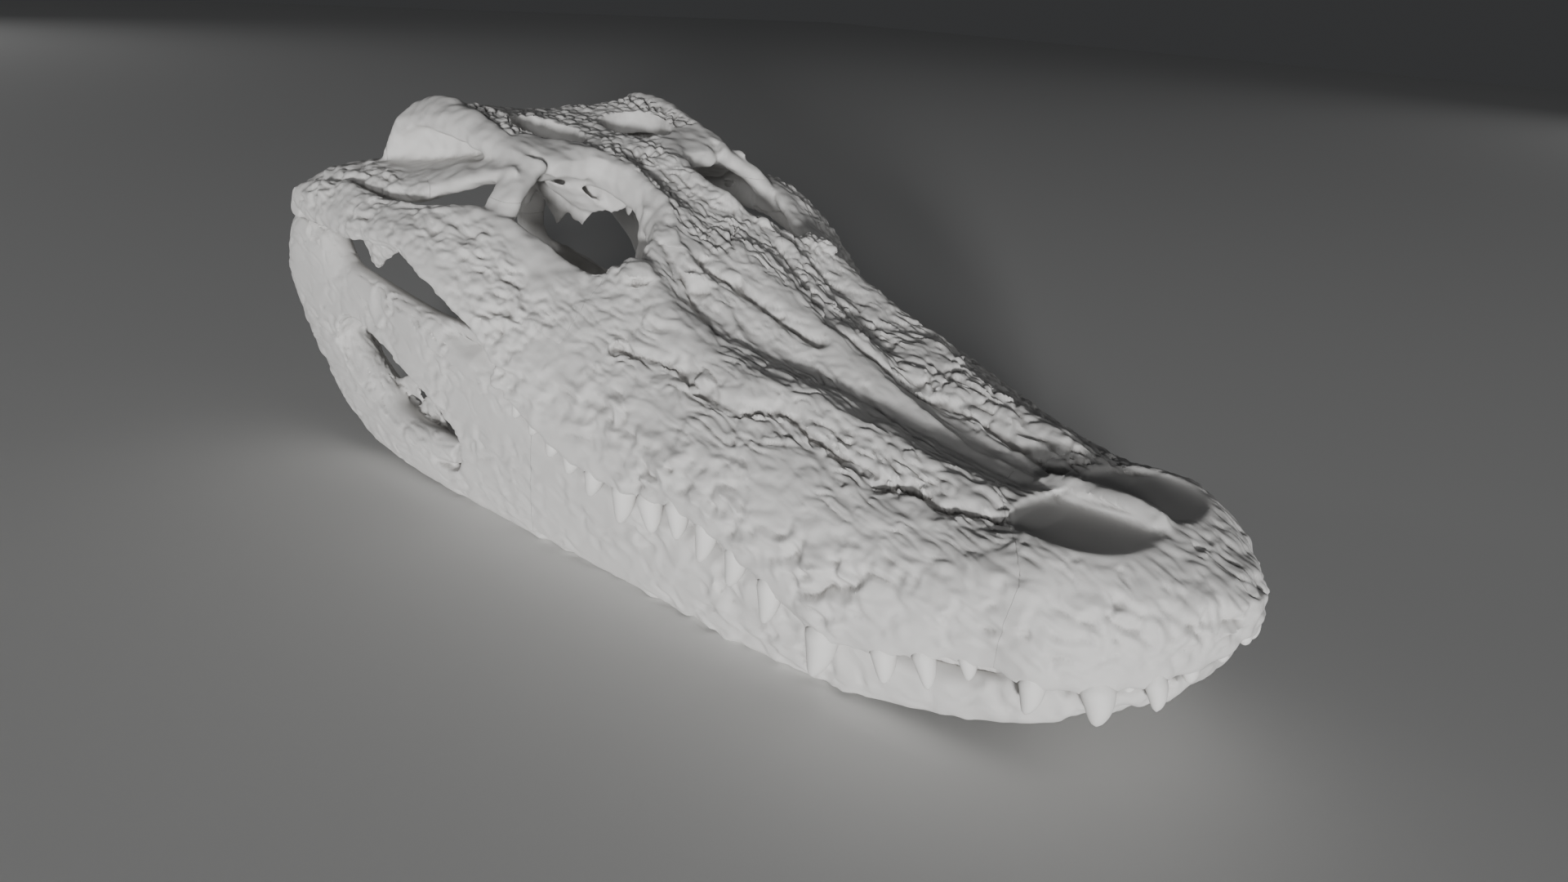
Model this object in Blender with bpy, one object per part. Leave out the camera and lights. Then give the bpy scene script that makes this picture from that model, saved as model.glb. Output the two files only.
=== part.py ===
"""Skull of a large alligator with its lower jaw closed, life size, divided into its main bones.

The tables are in millimetres, for a skull 450 mm long from the snout tip to the rear edge of
its table. In them x is the distance from the midline, y runs back from the snout tip and z is
the height over the upper tooth row. The animal's left side is at +X and its snout points to -Y.
At the end the skull is tipped until its lower jaw lies flat, and its base is put on z = 0.
"""
import math

import bmesh
import bpy
import numpy as np
from mathutils import Matrix, Vector

SKULL_LENGTH = 0.450
TABLE_LENGTH = 450.0
UNIT = SKULL_LENGTH / TABLE_LENGTH
CUT = 0.3
VOXEL = 2.0
REST_PITCH = math.radians(5.37)
FOOT_DEPTH = 0.6
RING_STEP = 6.0
RING_SIDES = 28
MERGE = 0.00001
MARGIN = 10.0

# Snout: distance back, half width, alveolar edge, palate, midline top, squareness of the section.
SNOUT = [
    (6, 7, 16, 18, 31, 2.0),
    (8, 15, 13, 16, 33, 2.1),
    (11, 22.5, 10.5, 14, 34, 2.1),
    (15, 31, 7.5, 12, 36, 2.3),
    (22, 42, 4, 9, 37, 2.5),
    (30, 50.5, 1.5, 7, 39, 2.9),
    (45, 60, -2, 4, 42, 3.2),
    (56, 63, -2.5, 3, 42, 3.8),
    (67, 65.5, -5, 3, 40.5, 3.8),
    (80, 71, -10, 2, 38, 3.3),
    (94, 76, -15, 2, 36.5, 3.1),
    (116, 83, -18.5, 2, 36, 3.0),
    (140, 87, -11.5, 2, 38, 2.8),
    (160, 90, -5.5, 3, 40.5, 2.7),
    (188, 94, -1.5, 4, 46, 2.45),
    (217, 99, -6, 5, 52, 2.2),
    (246, 105, -4, 7, 61, 2.0),
    (264, 108.5, 2, 10, 67, 1.9),
    (278, 111, 8, 14, 71, 1.8),
    (292, 113, 16, 18, 74.5, 1.7),
]
ALVEOLUS = 13.0

# Roof between the orbits: distance back, half width, height at the midline, raised rim, thickness.
FRONTAL = [
    (262, 30, 64, 1, 14),
    (282, 25, 71.5, 2, 12),
    (300, 19, 76.5, 3.5, 11),
    (322, 17, 82, 4, 11),
    (340, 20, 87, 3.5, 11),
    (356, 34, 91, 3, 11),
    (372, 48, 93, 4, 11),
]

# Skull table: distance back, half width, height at the midline, raised rim, thickness.
TABLE = [
    (350, 50, 89, 1, 10),
    (358, 56, 90.5, 3, 11),
    (376, 59, 92, 7, 12),
    (400, 60, 93, 9, 12),
    (425, 61, 94, 9, 12),
    (438, 62, 93.5, 7, 12),
    (444, 60, 91, 6, 10),
]

# Bars and plates: the lower edge, the upper edge, and the thickness across.
BARS = {
    "jugal": [
        ((100, 250, 4), (66, 250, 42), 18),
        ((110, 284, 21), (62, 280, 52), 12),
        ((115, 307, 35), (68, 305, 59), 11),
        ((120, 330, 44), (78, 331, 68), 11),
        ((122, 357, 52), (87, 352, 70), 11),
        ((123, 380, 50), (102, 376, 66), 10),
        ((124, 408, 44), (109, 402, 64), 10),
        ((124, 432, 41), (110, 430, 63), 10),
        ((123, 456, 39), (113, 454, 57), 12),
        ((121, 474, 40), (113, 472, 52), 14),
    ],
    "squamosal": [
        ((63, 360, 86), (50, 360, 91), 8),
        ((68, 388, 89), (54, 388, 97), 8),
        ((71, 412, 91), (56, 413, 100), 9),
        ((74, 434, 89), (57, 436, 100), 9),
        ((78, 449, 82), (60, 449, 96), 10),
        ((79, 455, 74), (67, 455, 89), 8),
    ],
    "postorbital": [
        ((52, 350, 88), (62, 376, 88), 12),
        ((60, 346, 82), (67, 366, 82), 9),
        ((71, 340, 76), (75, 356, 76), 9),
        ((77, 335, 68), (82, 353, 68), 9),
        ((83, 332, 58), (90, 360, 58), 12),
    ],
    "quadrate": [
        ((68, 348, 86), (40, 392, 80), 8),
        ((82, 374, 75), (55, 424, 70), 11),
        ((94, 394, 65), (65, 447, 64), 13),
        ((104, 428, 60), (76, 464, 60), 14),
        ((114, 456, 53), (86, 478, 53), 16),
        ((119, 472, 46), (86, 483, 44), 20),
    ],
    "flange": [
        ((104, 398, 38), (108, 396, 50), 4),
        ((102, 412, 30), (108, 410, 52), 4),
        ((100, 428, 23), (108, 424, 52), 4),
        ((98, 446, 28), (106, 446, 50), 5),
        ((98, 462, 34), (104, 462, 48), 7),
    ],
    "condyle": [
        ((122, 470, 41), (122, 484, 42), 16),
        ((112, 471, 39), (112, 488, 41), 18),
        ((98, 471, 37), (98, 487, 39), 15),
        ((84, 471, 35), (84, 486, 37), 17),
        ((76, 473, 36), (76, 483, 37), 13),
    ],
    "otic_wall": [
        ((50, 370, 72), (50, 370, 90), 6),
        ((49, 395, 68), (50, 393, 94), 6),
        ((55, 422, 65), (57, 418, 94), 6),
        ((66, 444, 62), (68, 438, 92), 7),
        ((80, 460, 60), (77, 454, 86), 7),
    ],
    "paroccipital": [
        ((20, 434, 58), (20, 434, 90), 12),
        ((50, 424, 70), (50, 430, 90), 9),
        ((70, 442, 67), (64, 444, 90), 8),
        ((84, 456, 64), (78, 456, 78), 7),
    ],
    "prefrontal": [
        ((18, 304, 70), (12, 306, 81), 10),
        ((26, 290, 64), (21, 292, 76), 11),
        ((38, 280, 58), (33, 281, 70), 12),
        ((50, 270, 50), (47, 270, 62), 12),
    ],
    "pillar": [
        ((14, 318, 76), (24, 306, 76), 9),
        ((13, 324, 52), (22, 312, 52), 6),
        ((11, 330, 28), (20, 318, 28), 6),
        ((8, 334, 8), (20, 318, 8), 7),
    ],
    "ectopterygoid": [
        ((80, 280, 14), (96, 280, 26), 12),
        ((70, 314, 4), (82, 316, 18), 8),
        ((64, 350, -10), (74, 354, 3), 7),
        ((60, 384, -20), (68, 392, -8), 7),
    ],
    "pterygoid": [
        ((8, 352, 10), (8, 454, 16), 8),
        ((34, 366, -1), (34, 442, -1), 6),
        ((57, 378, -14), (57, 430, -16), 6),
        ((71, 386, -27), (71, 418, -29), 9),
    ],
}

# Palatines: distance back, half width, underside, top.
PALATINE = [
    (262, 24, 6, 24),
    (300, 17, 2, 16),
    (330, 13, 0, 13),
    (356, 16, 2, 14),
    (380, 20, 4, 17),
]
# Braincase: distance back, half width, underside, top.
BRAINCASE = [
    (362, 12, 62, 92),
    (385, 17, 54, 92),
    (415, 24, 50, 93),
    (444, 28, 52, 93),
]
# Floor of the braincase down to the palate: height, half width, front and rear.
BASISPHENOID = [(58, 15, 434, 452), (40, 9, 446, 457), (26, 8, 447, 457), (10, 12, 430, 456)]
LACRIMAL_BOSS = (52, 275, 58)
LACRIMAL_BOSS_SIZE = (10, 11, 8)
OCCIPITAL_CONDYLE = (0, 449, 60)
OCCIPITAL_CONDYLE_RADIUS = 8.5
FORAMEN = (0, 452, 76)
FORAMEN_SIZE = (7.5, 20, 5.5)

# Nostril: height, inner and outer edge across, front and back edge along.
NOSTRIL = [
    (60, 2.8, 42, 33, 86),
    (46, 2.8, 40.5, 38, 85),
    (41, 3.4, 41, 42, 84),
    (37, 4.5, 41, 47, 83),
    (33, 7, 40, 52, 81),
    (30, 11, 38, 58, 79),
    (28, 17, 34, 63, 75),
]
# Openings: centre and half sizes.
ORBIT = (46.5, 323, 66)
ORBIT_SIZE = (28.5, 45, 70)
# Opening in the skull table: height, centre across, centre back, half width, half length.
TEMPORAL_FENESTRA = [(112, 27, 391, 19, 24), (92, 27, 391, 17, 22), (84, 29, 391, 16, 20),
                     (76, 31, 391, 14, 17), (66, 33, 391, 9, 11)]

# Lower jaw: foot of its outer face, top of its inner face, thickness.
RAMUS = [
    ((35, 40, -22), (34, 40, -5), 18),
    ((45, 62, -33), (44, 62, -8), 18),
    ((53, 92, -44), (55, 92, -14), 18),
    ((61, 126, -52.5), (61, 122, -16), 18),
    ((69, 166, -57), (68, 158, -11), 18),
    ((76, 213, -61), (77, 200, -7), 19),
    ((83, 266, -66), (85, 252, -7), 20),
    ((88, 294, -69), (90, 288, 4), 21),
    ((93, 326, -72), (95, 322, 18), 21),
    ((101, 372, -74), (101, 365, 18), 22),
    ((106, 424, -73), (105, 414, 18), 22),
    ((109, 458, -58), (108, 444, 20), 22),
    ((111, 480, -34), (109, 460, 32), 24),
    ((110, 492, -12), (106, 478, 37), 30),
    ((104, 504, 2), (102, 500, 30), 26),
    ((99, 518, 10), (98, 518, 32), 15),
    ((96, 528, 18), (96, 528, 36), 9),
]
# Symphysis: distance back, half width, underside, top.
SYMPHYSIS = [
    (11.5, 12, 0, 6.8),
    (15, 21, -4, 6),
    (20, 28.5, -8, 3.5),
    (28, 36, -12.5, 0.8),
    (42, 43.5, -21, -3),
    (56, 46, -27, -6),
    (68, 42, -28, -14),
]
JAW_FENESTRA = (105, 392, -31)
JAW_FENESTRA_SIZE = (40, 58, 11.5)
JAW_FENESTRA_SLOPE = math.radians(10)
JOINT_LEVEL = 34.0
JOINT_FRONT = 448.0
JOINT_REAR = 492.0
JOINT_CENTRE = 100.0
JOINT_HALF_WIDTH = 36.0

# Upper teeth: socket across, back and height, the way to the tip, and the width at the socket.
UPPER_TEETH = [
    (8, 9, 12, 0, -1, -1.5, 5.0),
    (19, 13, 8.5, 1, -1.5, -3.5, 6.4),
    (32, 17, 6, 1, -3.5, -7.5, 8.0),
    (45, 29, 2, 1, -4, -11.5, 12.6),
    (56, 45, -2, 1, -1, -11, 9.8),
    (61, 67, -5, 1, -3, -6, 7.0),
    (67, 80, -10, 1, -5.5, -9, 8.0),
    (71, 94, -15, 1, -4, -10.5, 9.4),
    (78, 116, -19, 1, 1, -18.5, 12.6),
    (83, 140, -11, 1, 0, -14.5, 9.6),
    (85, 157, -6, 1, 2, -13.5, 8.6),
    (87, 173, -2, 1, 1, -14, 8.4),
    (90, 188, -1, 1, -3, -9.5, 8.4),
    (92, 203, -5, 1, -5, -9, 8.8),
    (94, 217, -7, 1, 0, -12.5, 8.8),
    (98, 232, -6, 1, 1.5, -8, 7.6),
    (100, 246, -4, 1, 0.7, -5.5, 7.0),
    (102, 257, -2, 1, 1.3, -4.5, 6.4),
    (104, 268, 3, 1, 2.0, -4, 5.6),
    (105, 280, 6, 1, 2.0, -4, 5.4),
]
# Lower teeth: distance back, length above the bone and width at the bone.
LOWER_TEETH = [
    (19, 4, 6), (26, 4, 5), (35, 5, 6), (56, 8, 9), (72, 7, 6), (86, 7, 6), (104, 7, 6),
    (128, 8, 6), (148, 8, 7), (165, 8, 8), (181, 8, 8), (196, 7, 8), (210, 7, 7), (225, 7, 7),
    (239, 7, 7), (252, 7, 6), (264, 6, 6), (275, 5, 6),
]
# The tooth's outline from its root: share of the length and radius as a share of the width.
TOOTH_OUTLINE = ((0.0, 0.47), (0.6, 0.34), (0.94, 0.15))
TOOTH_SIDES = 5
TOOTH_ROOT = 6.0
PREMAXILLA_TEETH = 5

# Folds of the top of the skull: side (0 is both, 1 is left, -1 is right), height of the fold
# (a groove is negative), half width, and its line as distance across and back.
TOP_FOLDS = [
    (0, -2.6, 2.4, [(78, 250), (70, 232), (66, 221), (68, 206), (67, 196), (66, 186), (58, 180),
                    (52, 171), (53, 156), (51, 144), (49, 134), (48, 129), (50, 123), (46, 120),
                    (43, 109), (45, 102), (42, 94), (38, 82)]),
    (0, 3.2, 9.0, [(55, 262), (55, 240), (56, 216), (54, 192), (45, 180), (40, 165), (38, 150),
                   (34, 130), (31, 110), (30, 96)]),
    (0, -2.6, 9.0, [(38, 250), (34, 231), (30, 210), (24, 195), (14, 170), (10, 150), (6, 130),
                    (4, 110), (4, 95)]),
    (-1, -4.5, 3.4, [(24, 266), (19, 250), (15, 233), (12, 219), (9, 203)]),
    (1, -2.6, 3.0, [(24, 266), (19, 250), (15, 233), (9, 219), (3, 210)]),
    (1, -2.8, 2.4, [(3, 210), (5, 195), (9, 173), (15, 155), (19, 136), (16, 111), (12, 92)]),
    (-1, -0.9, 2.2, [(9, 173), (15, 155), (19, 136), (16, 111), (12, 92)]),
    (1, 2.6, 7.0, [(12, 200), (20, 175), (27, 155), (30, 136), (28, 111), (24, 92)]),
    (0, 2.4, 7.0, [(3, 268), (4, 245), (1, 225), (0, 200)]),
    (0, 2.2, 3.6, [(27, 284), (30, 262), (32, 245), (34, 225)]),
    (0, -2.0, 2.6, [(34, 282), (37, 262), (41, 245), (44, 228)]),
    (0, 3.6, 3.4, [(0, 88), (0, 45)]),
    (0, 1.5, 5.0, [(0, 110), (2, 92)]),
    (0, 2.0, 4.0, [(14, 352), (13, 330), (14, 312), (18, 298)]),
    (0, -1.5, 6.0, [(0, 356), (0, 330), (0, 300)]),
]
FOLD_REACH = 3.0
LOWEST_FOLD = 25.0

# Seams between the bones: upright walls by their points, with the lowest and highest level.
MIDLINE = ([(0, -20), (0, 262)], -40, 100)
PREMAXILLA_SEAM = ([(-92, 55), (-58, 57), (-20, 98), (0, 103), (20, 98), (58, 57), (92, 55)], -40, 100)
FRONTAL_SEAM = ([(-44, 302), (-24, 264), (0, 262), (24, 264), (44, 302)], -30, 100)
JUGAL_SEAM = ([(56, 300), (62, 282), (92, 270), (98, 291), (130, 296)], -30, 100)
PALATE_SEAM = ([(-32, 299), (32, 299)], -20, 34)
ECTOPTERYGOID_SEAM = ([(56, 299), (98, 299)], -24, 27)
QUADRATOJUGAL_SEAM = ([(93, 379), (98, 392), (136, 410)], 20, 80)
QUADRATE_SEAM = ([(95, 376), (87, 400), (84, 450), (66, 500)], 20, 82)
CHIN_SEAM = ([(0, 0), (0, 90)], -60, 20)
DENTARY_SEAM = ([(66, 303), (90, 288), (122, 266)], -90, 40)
# Level seams: centre and half width and half length.
PILLAR_SEAM = (0, 322, 40, 36, 24)
BASISPHENOID_SEAM = (0, 450, 33, 30, 20)
POSTORBITAL_SEAM = (71, 344, 75, 13, 18)

CRANIUM_TRIANGLES = 7000
JAW_TRIANGLES = 2300
# A point near the middle of each bone, for naming the pieces; the right side mirrors the left.
CRANIUM_SEEDS = {
    "premaxilla": (30, 45, 20), "maxilla": (60, 170, 20), "jugal": (105, 330, 45),
    "quadrate": (108, 450, 50),
}
MIDLINE_SEEDS = {"skull_roof": (0, 380, 80), "palate": (0, 370, 0)}
JAW_SEEDS = {"dentary": (60, 160, -30), "rear_jaw": (100, 380, -25)}
SIDES = (("left", 1.0), ("right", -1.0))

BONE_COLOURS = {
    "premaxilla": (0.74, 0.73, 0.70), "maxilla": (0.76, 0.75, 0.72), "jugal": (0.77, 0.76, 0.73),
    "quadrate": (0.75, 0.74, 0.71), "skull_roof": (0.73, 0.72, 0.69), "palate": (0.72, 0.71, 0.68),
    "dentary": (0.79, 0.78, 0.75), "rear_jaw": (0.78, 0.77, 0.74),
}
ROUGHNESS = 0.62


def clear_scene():
    for item in list(bpy.data.objects):
        bpy.data.objects.remove(item, do_unlink=True)


def bone_material(name):
    colour = BONE_COLOURS[name.replace("_left", "").replace("_right", "")]
    material = bpy.data.materials.new("bone " + name)
    material.use_nodes = True
    shader = material.node_tree.nodes["Principled BSDF"]
    shader.inputs["Base Color"].default_value = (*colour, 1.0)
    shader.inputs["Roughness"].default_value = ROUGHNESS
    shader.inputs["Metallic"].default_value = 0.0
    return material


def smooth_rows(rows, step=RING_STEP):
    """Read a table as one smooth curve through its rows, with a row about every step."""
    table = np.array(rows, float)
    gaps = np.maximum(np.linalg.norm(np.diff(table, axis=0), axis=1), 1e-6)
    place = np.concatenate([[0.0], np.cumsum(gaps)])
    slope = np.gradient(table, place, axis=0)
    count = max(2, int(round(place[-1] / step)) + 1)
    result = []
    for value in np.linspace(0.0, place[-1], count):
        index = min(np.searchsorted(place, value, side="right") - 1, len(gaps) - 1)
        span = gaps[index]
        part = (value - place[index]) / span
        start, end = table[index], table[index + 1]
        bend = (part - 1.0) * slope[index] + part * slope[index + 1]
        chord = (end - start) / span
        ease = part * part * (3.0 - 2.0 * part)
        curve = start + (end - start) * ease
        curve += span * part * (1.0 - part) * (chord * (2.0 * part - 1.0) - bend)
        result.append(curve)
    return np.array(result)


def new_object(name, verts, faces):
    mesh = bpy.data.meshes.new(name)
    mesh.from_pydata([tuple(v) for v in verts], [], faces)
    item = bpy.data.objects.new(name, mesh)
    bpy.context.scene.collection.objects.link(item)
    return item


def loft(name, rings):
    """Close a row of equal rings into one solid with its faces pointing out."""
    sides = len(rings[0])
    verts = np.concatenate(rings)
    faces = []
    for ring in range(len(rings) - 1):
        for side in range(sides):
            a = ring * sides + side
            b = ring * sides + (side + 1) % sides
            faces.append((a, b, b + sides, a + sides))
    faces.append(tuple(range(sides))[::-1])
    last = (len(rings) - 1) * sides
    faces.append(tuple(range(last, last + sides)))
    item = new_object(name, verts, faces)
    point_faces_out(item)
    return item


def point_faces_out(item):
    work = bmesh.new()
    work.from_mesh(item.data)
    bmesh.ops.recalc_face_normals(work, faces=work.faces)
    if work.calc_volume(signed=True) < 0.0:
        bmesh.ops.reverse_faces(work, faces=work.faces)
    work.to_mesh(item.data)
    work.free()


def rounded(angle, power):
    """A point of a unit rounded square: power 2 is a circle, more is squarer."""
    c, s = math.cos(angle), math.sin(angle)
    return math.copysign(abs(c) ** (2.0 / power), c), math.copysign(abs(s) ** (2.0 / power), s)


def ring_angles(sides):
    return [2.0 * math.pi * (i + 0.5) / sides for i in range(sides)]


def bar(name, stations, power=2.5, sides=RING_SIDES):
    """Loft a bar or plate from the two edges and the thickness given at each station."""
    rows = smooth_rows([tuple(low) + tuple(high) + (thick,) for low, high, thick in stations])
    middle = (rows[:, 0:3] + rows[:, 3:6]) / 2.0
    along = np.gradient(middle, axis=0)
    rings = []
    for row, centre, way in zip(rows, middle, along):
        half = (row[3:6] - row[0:3]) / 2.0
        across = np.cross(half, way)
        across *= row[6] / 2.0 / np.linalg.norm(across)
        ring = []
        for angle in ring_angles(sides):
            u, v = rounded(angle, power)
            ring.append(centre + half * u + across * v)
        rings.append(np.array(ring))
    return loft(name, rings)


def block(name, rows, power=2.6, sides=RING_SIDES):
    """Loft a body across the midline: distance back, half width, underside, top."""
    rings = []
    for y, half, low, high in smooth_rows(rows):
        ring = []
        for angle in ring_angles(sides):
            u, v = rounded(angle, power)
            ring.append((half * u, y, (high + low) / 2.0 + (high - low) / 2.0 * v))
        rings.append(np.array(ring))
    return loft(name, rings)


def roof(name, rows, sides=RING_SIDES):
    """Loft a plate across the midline whose edges rise above its middle."""
    rings = []
    for y, half, high, rim, thick in smooth_rows(rows):
        ring = []
        for angle in ring_angles(sides):
            u, v = rounded(angle, 4.0)
            lift = rim * u * u
            bevel = 1.0 - 0.06 * (v > 0.0)
            ring.append((half * u * bevel, y, high + lift - thick / 2.0 + thick / 2.0 * v))
        rings.append(np.array(ring))
    return loft(name, rings)


def snout_ring(row, arch=13):
    """Half of the snout's outline from the palate over the socket edge to the top, mirrored."""
    y, half, edge, palate, top, power = row
    inner = half - min(ALVEOLUS, half * 0.5)
    outline = [(inner * 0.5, palate), (inner, palate + (edge - palate) * 0.25)]
    outline += [(half - min(ALVEOLUS, half * 0.5) * 0.75, edge)]
    outline += [(half - 2.0, edge)]
    for i in range(arch):
        angle = math.pi / 2.0 * (i + 0.5) / arch
        u, v = rounded(angle, power)
        outline.append((half * u, edge + (top - edge) * v))
    right = [(x, y, z) for x, z in outline]
    left = [(-x, y, z) for x, z in reversed(outline)]
    return np.array(right + left)


def ellipsoid(name, centre, size, segments=24):
    item = new_object(name, [], [])
    work = bmesh.new()
    matrix = Matrix.Translation(Vector(centre)) @ Matrix.Diagonal((*size, 1.0))
    bmesh.ops.create_uvsphere(work, u_segments=segments, v_segments=segments // 2, radius=1.0,
                              matrix=matrix)
    work.to_mesh(item.data)
    work.free()
    point_faces_out(item)
    return item


def upright_loft(name, rows, power=2.2, sides=RING_SIDES):
    """Loft level rings: height, centre across, centre back, half width, half length."""
    rings = []
    for z, x, y, half_x, half_y in smooth_rows(rows):
        ring = []
        for angle in ring_angles(sides):
            u, v = rounded(angle, power)
            ring.append((x + half_x * u, y + half_y * v, z))
        rings.append(np.array(ring))
    return loft(name, rings)


def nostril():
    """A cutter whose inner side is straight along the bar between the nostrils."""
    rings = []
    for z, inner, outer, front, back in smooth_rows(NOSTRIL):
        ring = []
        for angle in ring_angles(RING_SIDES):
            u, v = rounded(angle, 2.2 if math.cos(angle) > 0.0 else 3.6)
            ring.append((0.5 * (inner + outer + (outer - inner) * u),
                         0.5 * (front + back + (back - front) * v), z))
        rings.append(np.array(ring))
    return loft("nostril", rings)


def orbit():
    x, y, z = ORBIT
    half_x, half_y, half_z = ORBIT_SIZE
    rows = [(z - half_z, x, y, half_x, half_y), (z + half_z, x, y, half_x, half_y)]
    return upright_loft("orbit", rows)


def box(name, low, high):
    item = new_object(name, [], [])
    work = bmesh.new()
    low, high = Vector(low), Vector(high)
    matrix = Matrix.Translation((low + high) / 2.0) @ Matrix.Diagonal((*(high - low), 1.0))
    bmesh.ops.create_cube(work, size=1.0, matrix=matrix)
    work.to_mesh(item.data)
    work.free()
    return item


def mirrored(item):
    copy = item.copy()
    copy.data = item.data.copy()
    copy.data.transform(Matrix.Diagonal((-1.0, 1.0, 1.0, 1.0)))
    bpy.context.scene.collection.objects.link(copy)
    point_faces_out(copy)
    return copy


def both_sides(item):
    return [item, mirrored(item)]


def apply_modifiers(item):
    bpy.context.view_layer.update()
    graph = bpy.context.evaluated_depsgraph_get()
    mesh = bpy.data.meshes.new_from_object(item.evaluated_get(graph))
    item.modifiers.clear()
    old = item.data
    item.data = mesh
    bpy.data.meshes.remove(old)


def boolean(item, others, operation, solver="EXACT"):
    """Join the others to the item, or cut them out of it, and remove them."""
    group = bpy.data.collections.new("operands")
    bpy.context.scene.collection.children.link(group)
    for other in others:
        bpy.context.scene.collection.objects.unlink(other)
        group.objects.link(other)
    modifier = item.modifiers.new(operation.lower(), "BOOLEAN")
    modifier.operation = operation
    modifier.operand_type = "COLLECTION"
    modifier.collection = group
    modifier.solver = solver
    apply_modifiers(item)
    for other in others:
        bpy.data.objects.remove(other, do_unlink=True)
    bpy.data.collections.remove(group)


def blend(item, voxel=VOXEL, turns=5):
    """Run the joined forms into one another as grown bone does."""
    remesh = item.modifiers.new("blend", "REMESH")
    remesh.mode = "VOXEL"
    remesh.voxel_size = voxel
    smooth = item.modifiers.new("smooth", "SMOOTH")
    smooth.factor = 0.5
    smooth.iterations = turns
    apply_modifiers(item)


def thin_out(item, triangles):
    count = sum(len(p.vertices) - 2 for p in item.data.polygons)
    decimate = item.modifiers.new("thin out", "DECIMATE")
    decimate.ratio = min(1.0, triangles / count)
    decimate.use_collapse_triangulate = True
    apply_modifiers(item)


def upright_cut(points, low, high, gap=CUT):
    """A thin upright wall that follows the points, for parting one bone from the next."""
    line = [Vector(p) for p in points]
    sides = []
    for index, point in enumerate(line):
        before = line[max(index - 1, 0)]
        after = line[min(index + 1, len(line) - 1)]
        way = (after - before).normalized()
        sides.append(Vector((-way.y, way.x)) * (gap / 2.0))
    outline = [p + s for p, s in zip(line, sides)] + [p - s for p, s in zip(line, sides)][::-1]
    return prism("cut", [np.array([(p.x, p.y, level) for p in outline]) for level in (low, high)])


def prism(name, rings):
    """A wall whose outline may bend: its top and foot are strips of four-sided faces."""
    count = len(rings[0])
    verts = np.concatenate(rings)
    faces = [(i, (i + 1) % count, (i + 1) % count + count, i + count) for i in range(count)]
    for offset in (0, count):
        for i in range(count // 2 - 1):
            faces.append((offset + i, offset + i + 1, offset + count - 2 - i, offset + count - 1 - i))
    item = new_object(name, verts, faces)
    point_faces_out(item)
    return item


def loose_parts(item):
    """The separate closed surfaces of an object, as lists of faces."""
    work = bmesh.new()
    work.from_mesh(item.data)
    work.faces.ensure_lookup_table()
    seen = set()
    parts = []
    for seed in work.faces:
        if seed.index in seen:
            continue
        stack, part = [seed], []
        seen.add(seed.index)
        while stack:
            face = stack.pop()
            part.append(face.index)
            for edge in face.edges:
                for near in edge.link_faces:
                    if near.index not in seen:
                        seen.add(near.index)
                        stack.append(near)
        parts.append(part)
    work.free()
    return sorted(parts, key=len, reverse=True)


def keep_part(item, part, name):
    """A new object with only the given faces."""
    mesh = item.data
    used = sorted({v for f in part for v in mesh.polygons[f].vertices})
    place = {v: i for i, v in enumerate(used)}
    verts = [mesh.vertices[v].co for v in used]
    faces = [tuple(place[v] for v in mesh.polygons[f].vertices) for f in part]
    return new_object(name, verts, faces)


def part_nodes(item, seeds):
    """Split a cut object and name each piece after the seed point that lies nearest."""
    pieces = [keep_part(item, part, "piece") for part in loose_parts(item)[:len(seeds)]]
    nodes = {}
    for name, seed in seeds.items():
        piece = min(pieces, key=lambda entry: (middle(entry) - Vector(seed)).length)
        pieces.remove(piece)
        nodes[name] = piece
        piece.name = name
        piece.data.name = name
    bpy.data.objects.remove(item, do_unlink=True)
    return nodes


def middle(item):
    corners = [Vector(corner) for corner in item.bound_box]
    return (corners[0] + corners[6]) / 2.0


def on_both_sides(seeds):
    named = {}
    for name, (x, y, z) in seeds.items():
        for side, sign in SIDES:
            named[name + "_" + side] = (sign * x, y, z)
    return named


def ramus_line(y):
    """Where the lower teeth leave the bone."""
    rows = np.array([(low[1], high[0], high[2]) for low, high, thick in RAMUS])
    chin = np.array([(r[0], r[1] - 5.0, r[3]) for r in SYMPHYSIS[:4]])
    rows = np.concatenate([chin, rows[rows[:, 0] > chin[-1, 0] + 5.0]])
    return np.interp(y, rows[:, 0], rows[:, 1]), np.interp(y, rows[:, 0], rows[:, 2])


def tooth(root, way, width):
    """A blunt cone along the way to its tip, with its root sunk in the bone."""
    root, way = np.array(root, float), np.array(way, float)
    length = np.linalg.norm(way)
    axis = way / length
    across = np.cross(axis, (0.0, 1.0, 0.0))
    across /= np.linalg.norm(across)
    other = np.cross(axis, across)
    rings = []
    for place, radius in ((-TOOTH_ROOT / length, TOOTH_OUTLINE[0][1]),) + TOOTH_OUTLINE:
        centre = root + way * place
        ring = []
        for angle in ring_angles(TOOTH_SIDES):
            ring.append(centre + width * radius * (across * math.cos(angle) + other * math.sin(angle)))
        rings.append(np.array(ring))
    return loft("tooth", rings)


def upper_tooth_row(side):
    teeth = []
    for x, y, z, dx, dy, dz, width in UPPER_TEETH:
        teeth.append(tooth((side * x, y, z + 1.0), (side * dx, dy, dz - 1.0), width))
    return teeth


def lower_tooth_row(side):
    teeth = []
    for y, length, width in LOWER_TEETH:
        x, z = ramus_line(y)
        teeth.append(tooth((side * x, y, z - 1.0), (0.0, 0.6, length), width))
    return teeth


def line_distance(points, line):
    """Distance of the points to a line of straight stretches, seen from above."""
    nearest = np.full(len(points), np.inf)
    line = np.array(line, float)
    for start, end in zip(line[:-1], line[1:]):
        way = end - start
        part = np.clip((points - start) @ way / (way @ way), 0.0, 1.0)
        offset = points - start - part[:, None] * way
        nearest = np.minimum(nearest, np.hypot(offset[:, 0], offset[:, 1]))
    return nearest


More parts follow.
